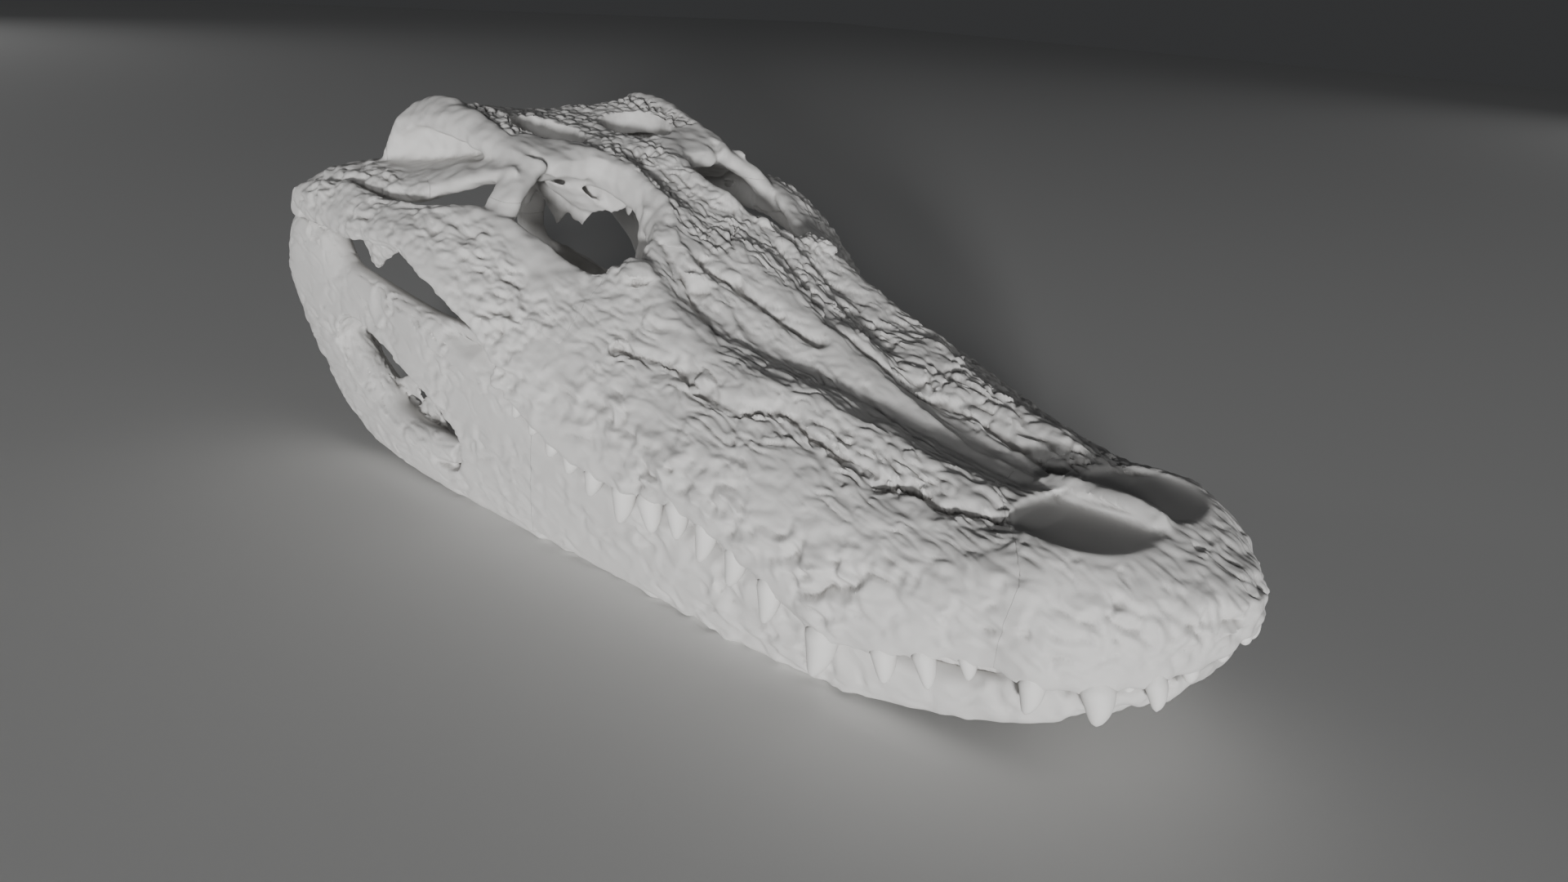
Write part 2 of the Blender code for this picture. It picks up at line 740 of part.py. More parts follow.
def raise_folds(item):
    """Raise and sink the long folds of the upper face along its normals."""
    place = np.array([v.co for v in item.data.vertices])
    normal = np.array([v.normal for v in item.data.vertices])
    upward = np.clip((normal[:, 2] - 0.15) / 0.35, 0.0, 1.0) * (place[:, 2] > LOWEST_FOLD)
    height = np.zeros(len(place))
    for side, rise, width, line in TOP_FOLDS:
        distance = line_distance(np.stack([np.abs(place[:, 0]), place[:, 1]], axis=1), line)
        fold = rise * np.exp(-(distance / width) ** 2) * (distance < FOLD_REACH * width)
        if side:
            fold *= np.clip(0.5 + place[:, 0] * side / 4.0, 0.0, 1.0)
        height += fold
    place += normal * (height * upward)[:, None]
    for vertex, point in zip(item.data.vertices, place):
        vertex.co = point


def build_cranium():
    """All the bones above the lower jaw, as one blended form."""
    snout = loft("snout", [snout_ring(row) for row in smooth_rows(SNOUT)])
    boolean(snout, both_sides(nostril()) + both_sides(orbit()), "DIFFERENCE")
    pieces = [roof("table", TABLE), roof("frontal", FRONTAL), block("palatine", PALATINE)]
    pieces.append(block("braincase", BRAINCASE))
    pieces.append(ellipsoid("occipital condyle", OCCIPITAL_CONDYLE, [OCCIPITAL_CONDYLE_RADIUS] * 3))
    pieces.append(basisphenoid())
    pieces += both_sides(ellipsoid("boss", LACRIMAL_BOSS, LACRIMAL_BOSS_SIZE))
    for name, stations in BARS.items():
        pieces += both_sides(bar(name, stations))
    boolean(snout, pieces, "UNION")
    windows = both_sides(upright_loft("window", TEMPORAL_FENESTRA))
    boolean(snout, windows + [ellipsoid("foramen", FORAMEN, FORAMEN_SIZE)], "DIFFERENCE")
    blend(snout)
    raise_folds(snout)
    return snout


def basisphenoid():
    rings = []
    for z, half, front, rear in smooth_rows(BASISPHENOID):
        ring = []
        for angle in ring_angles(RING_SIDES):
            u, v = rounded(angle, 2.6)
            ring.append((half * u, (front + rear) / 2.0 + (rear - front) / 2.0 * v, z))
        rings.append(np.array(ring))
    return loft("basisphenoid", rings)


def build_jaw():
    """Both halves of the lower jaw, as one blended form."""
    jaw = block("jaw", SYMPHYSIS, power=3.0)
    boolean(jaw, both_sides(bar("ramus", RAMUS, power=2.8)), "UNION")
    window = ellipsoid("window", (0, 0, 0), JAW_FENESTRA_SIZE)
    window.data.transform(Matrix.Rotation(JAW_FENESTRA_SLOPE, 4, "X"))
    window.data.transform(Matrix.Translation(JAW_FENESTRA))
    boolean(jaw, both_sides(window), "DIFFERENCE")
    blend(jaw)
    return jaw


def joint_block(low, high):
    """The part of the jaw joint between two levels, on both sides."""
    return both_sides(box("joint", (JOINT_CENTRE - JOINT_HALF_WIDTH, JOINT_FRONT, low),
                          (JOINT_CENTRE + JOINT_HALF_WIDTH, JOINT_REAR, high)))


def level_cut(seam):
    x, y, z, half_x, half_y = seam
    return box("cut", (x - half_x, y - half_y, z - CUT / 2.0), (x + half_x, y + half_y, z + CUT / 2.0))


def part_cranium(cranium):
    """Cut the bones of the cranium apart along their seams."""
    boolean(cranium, joint_block(-90.0, JOINT_LEVEL + CUT / 2.0), "DIFFERENCE")
    walls = [upright_cut(*seam) for seam in (MIDLINE, FRONTAL_SEAM, PALATE_SEAM)]
    boolean(cranium, walls + [level_cut(PILLAR_SEAM), level_cut(BASISPHENOID_SEAM)], "DIFFERENCE")
    boolean(cranium, [upright_cut(*PREMAXILLA_SEAM)], "DIFFERENCE")
    boolean(cranium, both_sides(level_cut(POSTORBITAL_SEAM)), "DIFFERENCE")
    for seam in (JUGAL_SEAM, ECTOPTERYGOID_SEAM, QUADRATOJUGAL_SEAM, QUADRATE_SEAM):
        boolean(cranium, both_sides(upright_cut(*seam)), "DIFFERENCE")
    return part_nodes(cranium, {**on_both_sides(CRANIUM_SEEDS), **MIDLINE_SEEDS})


def part_jaw(jaw):
    """Cut the lower jaw into its front and rear bones."""
    boolean(jaw, joint_block(JOINT_LEVEL - CUT / 2.0, 90.0), "DIFFERENCE")
    boolean(jaw, [upright_cut(*CHIN_SEAM)], "DIFFERENCE")
    boolean(jaw, both_sides(upright_cut(*DENTARY_SEAM)), "DIFFERENCE")
    return part_nodes(jaw, on_both_sides(JAW_SEEDS))


def keep_largest(item):
    parts = loose_parts(item)
    if len(parts) > 1:
        whole = keep_part(item, parts[0], item.name)
        old = item.data
        item.data = whole.data
        bpy.data.objects.remove(whole, do_unlink=True)
        bpy.data.meshes.remove(old)


def set_teeth(nodes):
    """Grow the teeth on the bones that carry them."""
    for side, sign in SIDES:
        upper = upper_tooth_row(sign)
        rows = {"premaxilla": upper[:PREMAXILLA_TEETH], "maxilla": upper[PREMAXILLA_TEETH:],
                "dentary": lower_tooth_row(sign)}
        for name, teeth in rows.items():
            node = nodes[name + "_" + side]
            boolean(node, teeth, "UNION")
            keep_largest(node)


def bounds(items):
    points = np.array([v.co for item in items for v in item.data.vertices])
    return points.min(axis=0), points.max(axis=0)


def settle(items):
    """Tip the skull on to its lower jaw, flatten its feet and put its base on the floor."""
    for item in items:
        item.data.transform(Matrix.Rotation(REST_PITCH, 4, "X"))
    low, high = bounds(items)
    floor = low[2] + FOOT_DEPTH
    for item in items:
        if bounds([item])[0][2] < floor:
            slab = box("floor", (low[0] - MARGIN, low[1] - MARGIN, low[2] - MARGIN),
                       (high[0] + MARGIN, high[1] + MARGIN, floor))
            boolean(item, [slab], "DIFFERENCE")
            keep_largest(item)
    centre = (low + high) / 2.0
    matrix = Matrix.Scale(UNIT, 4) @ Matrix.Translation((-centre[0], -centre[1], -floor))
    for item in items:
        item.data.transform(matrix)
    return matrix @ Matrix.Rotation(REST_PITCH, 4, "X")


def finish(item):
    """Flat faces, no doubled points and the bone's own material."""
    work = bmesh.new()
    work.from_mesh(item.data)
    bmesh.ops.remove_doubles(work, verts=work.verts, dist=MERGE)
    bmesh.ops.dissolve_degenerate(work, edges=work.edges, dist=MERGE)
    bmesh.ops.triangulate(work, faces=work.faces)
    work.to_mesh(item.data)
    work.free()
    item.data.materials.clear()
    item.data.materials.append(bone_material(item.name))


def main():
    clear_scene()
    cranium = build_cranium()
    jaw = build_jaw()
    thin_out(cranium, CRANIUM_TRIANGLES)
    thin_out(jaw, JAW_TRIANGLES)
    nodes = {**part_cranium(cranium), **part_jaw(jaw)}
    set_teeth(nodes)
    settle(list(nodes.values()))
    for item in nodes.values():
        finish(item)


main()
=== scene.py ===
"""Skull of a large alligator with its lower jaw closed, as dry bone on a pale studio floor.

The tables are in millimetres, for a skull 450 mm long from the snout tip to the rear edge of
its table. In them x is the distance from the midline, y runs back from the snout tip and z is
the height over the upper tooth row. REST turns that frame into the frame of the solids.
"""
import itertools
import math

import bmesh
import bpy
import numpy as np
from mathutils import Matrix, Vector


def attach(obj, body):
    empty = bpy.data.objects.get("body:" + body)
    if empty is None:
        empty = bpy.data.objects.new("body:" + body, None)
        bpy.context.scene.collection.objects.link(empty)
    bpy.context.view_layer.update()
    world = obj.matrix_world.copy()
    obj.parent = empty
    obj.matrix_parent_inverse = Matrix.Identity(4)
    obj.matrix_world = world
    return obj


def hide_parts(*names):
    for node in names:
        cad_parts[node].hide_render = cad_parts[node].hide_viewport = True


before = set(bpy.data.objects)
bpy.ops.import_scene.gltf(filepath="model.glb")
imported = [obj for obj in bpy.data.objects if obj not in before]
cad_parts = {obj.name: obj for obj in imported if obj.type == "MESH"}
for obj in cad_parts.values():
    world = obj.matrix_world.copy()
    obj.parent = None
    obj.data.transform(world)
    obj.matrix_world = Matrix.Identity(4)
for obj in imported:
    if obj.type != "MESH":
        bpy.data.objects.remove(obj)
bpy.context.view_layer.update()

MM = 0.001
REST_PITCH = math.radians(5.37)
REST_SHIFT = (-0.078, -263.698, 40.650)
REST = (Matrix.Scale(MM, 4) @ Matrix.Translation(REST_SHIFT)
        @ Matrix.Rotation(REST_PITCH, 4, "X"))
CRANIUM_VOXEL = 0.8
JAW_VOXEL = 1.1
ROUGH_VOXEL = 1.7
RING_STEP = 5.0
RING_SIDES = 36
SPHERE_SEGMENTS = 40
SMOOTH_TURNS = 4
SMOOTH_FACTOR = 0.5
SEED = 11
SIDES = (("left", 1.0), ("right", -1.0))

# Snout: distance back, half width, alveolar edge, palate, midline top, squareness of the section.
SNOUT = [
    (6, 7, 16, 18, 31, 2.0), (8, 15, 13, 16, 33, 2.1), (11, 22.5, 10.5, 14, 34, 2.1),
    (15, 31, 7.5, 12, 36, 2.3), (22, 42, 4, 9, 37, 2.5), (30, 50.5, 1.5, 7, 39, 2.9),
    (45, 60, -2, 4, 42, 3.2), (56, 63, -2.5, 3, 42, 3.8), (67, 65.5, -5, 3, 40.5, 3.8),
    (80, 71, -10, 2, 38, 3.3), (94, 76, -15, 2, 36.5, 3.1), (116, 83, -18.5, 2, 36, 3.0),
    (140, 87, -11.5, 2, 38, 2.8), (160, 90, -5.5, 3, 40.5, 2.7), (188, 94, -1.5, 4, 46, 2.45),
    (217, 99, -6, 5, 52, 2.2), (246, 105, -4, 7, 61, 2.0), (264, 108.5, 2, 10, 67, 1.9),
    (278, 111, 8, 14, 71, 1.8), (292, 113, 16, 18, 74.5, 1.7),
]
# Width of the ledge that carries the teeth, and the points of each half of the arch above it.
ALVEOLUS = 13.0
ARCH_POINTS = 18

# Roof between the orbits: distance back, half width, height at the midline, raised rim, thickness.
FRONTAL = [
    (262, 30, 64, 1, 14), (282, 25, 71.5, 2, 12), (300, 21, 76.5, 4.5, 11), (322, 20, 82, 5, 11),
    (340, 23, 87, 4.5, 11), (356, 34, 91, 3, 11), (372, 48, 93, 4, 11),
]
# The upper face of a roof plate is narrower than the lower one by this share.
ROOF_BEVEL = 0.06
# Skull table: distance back, half width, height at the midline, raised rim, thickness.
TABLE = [
    (350, 50, 89, 1, 10), (358, 56, 90.5, 3, 11), (376, 59, 92, 7, 12), (400, 60, 93, 9, 12),
    (425, 61, 94, 9, 12), (438, 62, 93.5, 7, 12), (444, 60, 91, 6, 10),
]

# Bars and plates: a point of the lower edge, one of the upper edge, and the thickness across.
BARS = {
    "jugal": [
        (100, 250, 4, 66, 250, 42, 18), (110, 284, 21, 62, 280, 52, 12),
        (115, 307, 35, 68, 305, 59, 11), (120, 330, 44, 78, 331, 68, 11),
        (122, 357, 52, 87, 352, 70, 11), (123, 380, 50, 102, 376, 66, 10),
        (124, 408, 44, 109, 402, 64, 10), (124, 432, 41, 110, 430, 63, 10),
        (123, 456, 39, 113, 454, 57, 12), (121, 474, 40, 113, 472, 52, 14),
    ],
    "squamosal": [
        (63, 360, 86, 50, 360, 91, 8), (68, 388, 89, 54, 388, 97, 8), (71, 412, 91, 56, 413, 100, 9),
        (74, 434, 89, 57, 436, 100, 9), (78, 449, 82, 60, 449, 96, 10), (79, 455, 74, 67, 455, 89, 8),
    ],
    "postorbital": [
        (52, 350, 88, 62, 376, 88, 12), (60, 346, 82, 67, 366, 82, 9), (71, 340, 76, 75, 356, 76, 9),
        (77, 335, 68, 82, 353, 68, 9), (83, 332, 58, 90, 360, 58, 12),
    ],
    "quadrate": [
        (68, 348, 86, 40, 392, 80, 8), (82, 374, 75, 55, 424, 70, 11), (94, 394, 65, 65, 447, 64, 13),
        (104, 428, 60, 76, 464, 60, 14), (114, 456, 53, 86, 478, 53, 16),
        (119, 472, 46, 86, 483, 44, 20),
    ],
    "flange": [
        (105, 392, 39, 108, 392, 50, 4), (103, 410, 29, 108, 410, 52, 4),
        (101, 427, 19.5, 108, 424, 52, 4), (98, 446, 27, 106, 446, 50, 5),
        (98, 462, 34, 104, 462, 48, 7),
    ],
    "condyle": [
        (122, 470, 41, 122, 484, 42, 16), (112, 471, 39, 112, 488, 41, 18),
        (98, 471, 37, 98, 487, 39, 15), (84, 471, 35, 84, 486, 37, 17), (76, 473, 36, 76, 483, 37, 13),
    ],
    "jugal_ledge": [
        (88, 304, 42, 86, 304, 49, 5), (91, 330, 46, 89, 330, 60, 5), (97, 357, 48, 95, 354, 64, 5),
        (106, 382, 44, 106, 378, 61, 5), (111, 402, 42, 112, 400, 58, 5),
    ],
    "otic_wall": [
        (50, 370, 72, 50, 370, 90, 6), (49, 395, 68, 50, 393, 94, 6), (55, 422, 65, 57, 418, 94, 6),
        (66, 444, 62, 68, 438, 92, 7), (80, 460, 60, 77, 454, 86, 7),
    ],
    "otic_ledge": [
        (56, 362, 86, 62, 362, 86, 3), (55, 392, 86, 69, 390, 88, 3), (57, 414, 88, 73, 412, 90, 3),
        (60, 436, 86, 76, 436, 88, 3), (64, 450, 80, 80, 452, 79, 4),
    ],
    "otic_lens": [
        (52, 412, 72, 52, 406, 80, 4), (55, 402, 74, 55, 398, 82, 4), (58, 388, 78, 58, 386, 84, 4),
    ],
    "orbit_band": [
        (48, 366, 76, 54, 358, 88, 5), (38, 366, 77, 40, 352, 88, 5), (27, 362, 75, 28, 348, 86, 5),
        (20, 346, 74, 21, 336, 84, 5), (18, 328, 70, 18, 322, 80, 5), (24, 308, 64, 22, 302, 76, 5),
        (34, 292, 60, 32, 288, 72, 5), (46, 282, 56, 44, 278, 66, 5),
    ],
    "inner_wall": [
        (9, 344, 66, 9, 338, 86, 3), (14, 352, 61, 13, 350, 88, 3), (15, 358, 64, 15, 356, 88, 3),
        (19, 370, 49, 18, 368, 88, 3.5), (21, 379, 53, 20, 377, 88, 3.5),
        (22, 387, 46, 22, 385, 88, 3.5), (25, 402, 59, 25, 400, 88, 4), (26, 414, 44, 26, 412, 88, 4),
    ],
    "inner_shelf": [
        (12, 352, 62, 30, 358, 74, 2.5), (18, 366, 58, 36, 370, 74, 2.5),
        (22, 380, 62, 40, 384, 76, 2.5),
    ],
    "paroccipital": [
        (20, 434, 58, 20, 434, 90, 12), (50, 424, 70, 50, 430, 90, 9), (70, 442, 67, 64, 444, 90, 8),
        (84, 456, 64, 78, 456, 78, 7),
    ],
    "prefrontal": [
        (18, 304, 70, 12, 306, 81, 10), (26, 290, 64, 21, 292, 76, 11), (38, 280, 58, 33, 281, 70, 12),
        (50, 270, 50, 47, 270, 62, 12),
    ],
    "pillar": [
        (14, 318, 76, 24, 306, 76, 9), (13, 324, 52, 22, 312, 52, 6), (11, 330, 28, 20, 318, 28, 6),
        (8, 334, 8, 20, 318, 8, 7),
    ],
    "ectopterygoid": [
        (80, 280, 14, 96, 280, 26, 12), (70, 314, 4, 82, 316, 18, 8), (64, 350, -10, 74, 354, 3, 7),
        (60, 384, -20, 68, 392, -8, 7),
    ],
    "pterygoid": [
        (8, 352, 10, 8, 454, 16, 8), (34, 366, -1, 34, 442, -1, 6), (57, 378, -14, 57, 430, -16, 6),
        (71, 386, -27, 71, 418, -29, 9),
    ],
}
# Across the midline: distance back, half width, underside, top.
PALATINE = [
    (262, 24, 6, 24), (300, 17, 2, 16), (330, 13, 0, 13), (356, 16, 2, 14), (380, 20, 4, 17),
]
BRAINCASE = [
    (362, 12, 62, 92), (385, 17, 54, 92), (415, 24, 50, 93), (444, 28, 52, 93),
]
# Floor of the braincase down to the palate: height, half width, front and rear.
BASISPHENOID = [(58, 15, 434, 452), (40, 9, 446, 457), (26, 8, 447, 457), (10, 12, 430, 456)]
LACRIMAL_BOSS = (52, 275, 58)
LACRIMAL_BOSS_SIZE = (10, 11, 8)
OCCIPITAL_CONDYLE = (0, 449, 60)
OCCIPITAL_CONDYLE_RADIUS = 8.5
FORAMEN = (0, 452, 76)
FORAMEN_SIZE = (7.5, 20, 5.5)

# Nostril: height, inner and outer edge across, front and back edge along.
NOSTRIL = [
    (60, 2.8, 42, 28, 86), (46, 2.8, 40.5, 30, 85.5), (42, 3.0, 41, 32, 85),
    (40.5, 3.2, 41.5, 38, 84.5), (39, 3.4, 41.5, 46, 84.5), (37.5, 3.8, 41.5, 54, 84),
    (36, 4.4, 41, 61, 83), (34.5, 6, 40, 67, 82), (33.5, 10, 37, 71, 80),
]
NOSTRIL_STEP = 3.0
# Openings: centre and half sizes.
ORBIT = (46.5, 323, 66)
ORBIT_SIZE = (28.5, 45, 70)
# Opening in the skull table: height, centre across, centre back, half width, half length.
TEMPORAL_FENESTRA = [(112, 27, 391, 19, 24), (92, 27, 391, 17, 22), (84, 29, 391, 16, 20),
                     (76, 31, 391, 14, 17), (66, 33, 391, 9, 11)]

# Lower jaw: a point at the foot of its outer face, one at the top of its inner face, thickness.
RAMUS = [
    (35, 40, -22, 34, 40, -5, 18), (45, 62, -33, 44, 62, -8, 18), (53, 92, -44, 55, 92, -14, 18),
    (61, 126, -52.5, 61, 122, -16, 18), (69, 166, -57, 68, 158, -11, 18),
    (76, 213, -61, 77, 200, -7, 19), (83, 266, -66, 85, 252, -7, 20), (88, 294, -69, 90, 288, 4, 21),
    (93, 326, -72, 95, 322, 18, 21), (101, 372, -74, 101, 365, 18, 22),
    (106, 424, -73, 105, 414, 18, 22), (109, 458, -58, 108, 444, 20, 22),
    (111, 480, -34, 109, 460, 32, 24), (110, 492, -12, 106, 478, 37, 30),
    (104, 504, 2, 102, 500, 30, 26), (99, 518, 10, 98, 518, 32, 15), (96, 528, 18, 96, 528, 36, 9),
]
# Symphysis: distance back, half width, underside, top.
SYMPHYSIS = [
    (11.5, 12, 0, 6.8), (15, 21, -4, 6), (20, 28.5, -9, 3.5), (28, 36, -15.5, 0.8), (42, 43.5, -24, -3),
    (56, 46.5, -30, -6), (68, 45, -33, -14),
]
# Window of the jaw, and the thick rounded lip under it.
JAW_WINDOW = [
    (70, 393, -48.5, 70, 383, -13.5, 112), (130, 393, -48.5, 130, 383, -13.5, 112),
]
JAW_LIP = [
    (108, 446, -28, 108, 446, -16, 12), (107, 430, -40, 107, 430, -25, 15),
    (106, 414, -51, 106, 414, -34, 17), (105, 400, -61, 105, 400, -43, 18),
    (104, 380, -63, 104, 380, -45, 17), (102, 358, -58, 102, 358, -42, 15),
    (100, 342, -53, 100, 342, -41, 12),
]
# Bone splints that show inside the window.
SPLINTS = [
    [(96, 392, -42, 97, 398, -27, 3), (97, 408, -43, 97, 411, -35, 3), (97, 423, -46, 97, 424, -43, 2)],
    [(95, 360, -50, 96, 386, -33, 3), (96, 388, -52, 96, 396, -45, 3), (97, 411, -56, 97, 413, -53, 2)],
]
JOINT_LEVEL = 34.0
JOINT_FRONT = 448.0
JOINT_REAR = 492.0
JOINT_CENTRE = 100.0
JOINT_HALF_WIDTH = 36.0
JOINT_GAP = 0.5

# Camera in the frame of the tables: place in mm, azimuth, elevation and roll in degrees.
CAMERA_PLACE = (-313.25, -82.65, 211.31)
CAMERA_AZIMUTH = -45.57
CAMERA_ELEVATION = 26.94
CAMERA_ROLL = 7.75
CAMERA_FOCAL_PIXELS = 1303.6
IMAGE_WIDTH = 1920.0
SENSOR = 36.0
# Studio lights: turn from the front of the skull in degrees, distance back and height in metres,
# size and power.
LIGHTS = {
    "key": (-42.0, 4.0, 0.24, 0.4, 150.0),
    "fill": (-46.0, 3.6, 0.95, 0.5, 24.0),
    "rim_front": (76.0, 4.0, 0.25, 0.8, 12.0),
    "rim_rear": (196.0, 4.0, 0.25, 0.8, 18.0),
}
WORLD_COLOUR = (0.95, 0.97, 1.0, 1.0)
WORLD_STRENGTH = 0.04
LIGHT_TARGET = (0.0, 0.0, 0.08)
FLOOR_HALF = 6.0
FLOOR_COLOUR = (0.80, 0.80, 0.79, 1.0)
SHARP_ANGLE = math.radians(55.0)
# Creases with painted shade, darker where light reaches less: turns of smoothing that find them,
# the depth in metres where the painted shade starts, the depth from there to its full strength,
# and that strength. Upright faces take only a share of it, so faces that look up get more painted shade.
CREASE_SHADE_DEPTHS = [(3, 0.00012, 0.00035, 1.0), (14, 0.0009, 0.0013, 0.75)]
CREASE_SHADE_SIDE = 0.3
BONE_COLOUR = (0.69, 0.68, 0.665)
TOOTH_COLOUR = (0.82, 0.81, 0.79)
# Colour of the painted shade in the creases.
CREASE_SHADE_COLOUR = (0.30, 0.29, 0.28)

# Seams between the bones: upright walls by their points, with the lowest and highest level.
MIDLINE = ([(0, -20), (0, 264.5)], -40, 110)
PREMAXILLA_SEAM = ([(-92, 55), (-58, 57), (-20, 98), (0, 103), (20, 98), (58, 57), (92, 55)], -40, 110)
FRONTAL_SEAM = ([(-44, 302), (-24, 264), (0, 262), (24, 264), (44, 302)], -30, 110)
JUGAL_SEAM = ([(56, 300), (62, 282), (92, 270), (98, 291), (130, 296)], -30, 110)
PALATE_SEAM = ([(-32, 299), (32, 299)], -20, 34)
ECTOPTERYGOID_SEAM = ([(56, 299), (98, 299)], -24, 27)
QUADRATOJUGAL_SEAM = ([(93, 379), (98, 392), (136, 410)], 20, 80)
QUADRATE_SEAM = ([(95, 376), (87, 400), (84, 450), (66, 500)], 20, 82)
CHIN_SEAM = ([(0, 0), (0, 90)], -60, 20)
DENTARY_SEAM = ([(66, 303), (90, 288), (122, 266)], -90, 40)
# Level seams: centre and half width and half length.
PILLAR_SEAM = (0, 322, 40, 36, 24)
BASISPHENOID_SEAM = (0, 450, 33, 30, 20)
POSTORBITAL_SEAM = (71, 344, 75, 13, 18)
SEAM_GAP = 0.12
SEAM_WAVE = 0.7
SEAM_STEP = 2.4
# A point near the middle of each bone, for naming the pieces; the right side mirrors the left.
CRANIUM_SEEDS = {
    "premaxilla": (30, 45, 20), "maxilla": (60, 170, 20), "jugal": (105, 330, 45),
    "quadrate": (108, 450, 50),
}
MIDLINE_SEEDS = {"skull_roof": (0, 380, 80), "palate": (0, 370, 0)}
JAW_SEEDS = {"dentary": (60, 160, -30), "rear_jaw": (100, 380, -25)}

# Upper teeth: socket across, back and height, the way to the tip, and the width at the socket.
UPPER_TEETH = [
    (8, 9, 12, 0, -1, -1.5, 5.0), (19, 13, 8.5, 1, -1.5, -3.5, 6.4), (32, 17, 6, 1, -3.5, -7.5, 8.0),
    (45, 29, 2, 1, -4, -11.5, 12.6), (56, 45, -2, 1, -1, -11, 9.8), (61, 67, -5, 1, -3, -6, 7.0),
    (67, 80, -10, 1, -5.5, -9.5, 8.6), (71, 94, -15, 1, -4, -11, 10.0), (78, 116, -19, 1, 1, -19, 13.6),
    (83, 140, -11, 1, 0, -16, 10.8), (85, 157, -6, 1, 2, -15, 10.4), (87, 173, -2, 1.5, 1, -16, 10.4),
    (90, 188, -1, 1.5, -3, -12, 10.0), (92, 203, -5, 1.5, -5, -11.5, 10.8),
    (94, 217, -7, 1.5, 0, -14.5, 10.8), (98, 232, -6, 1.5, 1.5, -10, 9.2),
    (100, 246, -4, 1.5, 0.7, -7.5, 8.6), (102, 257, -2, 1.5, 1.3, -6.5, 7.8),
    (104, 268, 3, 1.5, 2.0, -6, 7.0), (105, 280, 6, 1.5, 2.0, -6, 6.6),
]
# Lower teeth: distance back, length above the bone and width at the bone.
LOWER_TEETH = [
    (19, 4, 6), (26, 4, 5), (35, 5, 6), (56, 8, 9), (72, 7, 6), (86, 7, 6), (104, 7, 6),
    (128, 8, 6), (148, 8, 7), (165, 8, 8), (181, 8, 8), (196, 7, 8), (210, 7, 7), (225, 7, 7),
    (239, 7, 7), (252, 7, 6), (264, 6, 6), (275, 5, 6),
]
TOOTH_SIDES = 22
TOOTH_RINGS = 16
TOOTH_ROOT = 7.0
PREMAXILLA_TEETH = 5
COLLAR = 1.1
SOCKET_GAP = 0.45
JAW_RECESS = 6.5

# Texture patterns in mm: the cell across, along and up, how far it is bent, and its seed.
PATTERNS = {
    "ridges": ((4.2, 15.0, 4.2), 0.5, 42),
    "short_ridges": ((4.0, 8.5, 4.0), 0.5, 52),
    "bumps": ((5.2, 11.0, 5.2), 0.5, 94),
    "dents": ((4.6, 8.5, 4.6), 0.5, 102),
    "fine": ((3.0, 4.5, 3.0), 0.4, 108),
    "jaw_bumps": ((6.0, 9.0, 6.0), 0.6, 72),
    "jaw_dents": ((5.0, 8.0, 5.0), 0.5, 78),
    "fibres": ((3.0, 26.0, 6.0), 0.5, 82),
}
# Height of each pattern in mm, by region.
RELIEF = {
    "snout_ridges": {"ridges": 1.9, "short_ridges": 0.8},
    "snout_side": {"bumps": 3.4, "dents": 1.6, "fine": 0.9},
    "snout_top": {"bumps": 0.8, "fine": 0.35},
    "cheek": {"bumps": 1.5, "dents": 0.9, "fine": 0.9, "short_ridges": 0.3},
    "brow": {"ridges": 0.9, "short_ridges": 0.7, "bumps": 0.3},
    "table": {"pits": 1.8, "bumps": 0.8},
    "jaw_front": {"bumps": 1.7, "dents": 1.2},
    "jaw_rear": {"bumps": 0.9, "fibres": 0.9},
}
# Where the regions start and end along the skull, and over what length they fade.
SNOUT_END = (286.0, 300.0)
CHEEK_REACH = (285.0, 462.0, 8.0)
BROW_REACH = (270.0, 352.0, 8.0)
TABLE_REACH = (350.0, 445.0, 5.0)
WORN_START = (262.0, 285.0)
JAW_REAR = (250.0, 330.0)
RECESS_REACH = (75.0, 330.0, 30.0)
# The smooth patch round each nostril: centre and half sizes, across and back.
NOSTRIL_PATCH = (21.0, 60.5, 19.0, 22.0)

# Folds of the top of the skull: side (0 is both, 1 is left, -1 is right), height of the fold
# (a groove is negative), half width, and its line as distance across and back.
TOP_FOLDS = [
    (0, -2.6, 2.4, [(78, 250), (70, 232), (66, 221), (68, 206), (67, 196), (66, 186), (58, 180),
                    (52, 171), (53, 156), (51, 144), (49, 134), (48, 129), (50, 123), (46, 120),
                    (43, 109), (45, 102), (42, 94), (38, 82)]),
    (0, 4.0, 9.0, [(55, 262), (55, 240), (56, 216), (54, 192), (45, 180), (40, 165), (38, 150),
                   (34, 130), (31, 110), (30, 96)]),
    (0, -5.0, 9.0, [(38, 250), (34, 231), (30, 210), (24, 195), (14, 170), (10, 150), (6, 130),
                    (4, 110), (4, 95)]),
    (-1, -4.5, 3.4, [(24, 266), (19, 250), (15, 233), (12, 219), (9, 203)]),
    (1, -2.6, 3.0, [(24, 266), (19, 250), (15, 233), (9, 219), (3, 210)]),
    (1, -2.8, 2.4, [(3, 210), (5, 195), (9, 173), (15, 155), (19, 136), (16, 111), (12, 92)]),
    (-1, -0.9, 2.2, [(9, 173), (15, 155), (19, 136), (16, 111), (12, 92)]),
    (1, 2.6, 7.0, [(12, 200), (20, 175), (27, 155), (30, 136), (28, 111), (24, 92)]),
    (0, 2.4, 7.0, [(3, 268), (4, 245), (1, 225), (0, 200)]),
    (0, 2.2, 3.6, [(27, 284), (30, 262), (32, 245), (34, 225)]),
    (0, -2.0, 2.6, [(34, 282), (37, 262), (41, 245), (44, 228)]),
    (0, 3.6, 3.4, [(0, 88), (0, 45)]),
    (0, 1.5, 5.0, [(0, 110), (2, 92)]),
    (0, 2.0, 4.0, [(14, 352), (13, 330), (14, 312), (18, 298)]),
    (0, -1.5, 6.0, [(0, 356), (0, 330), (0, 300)]),
]


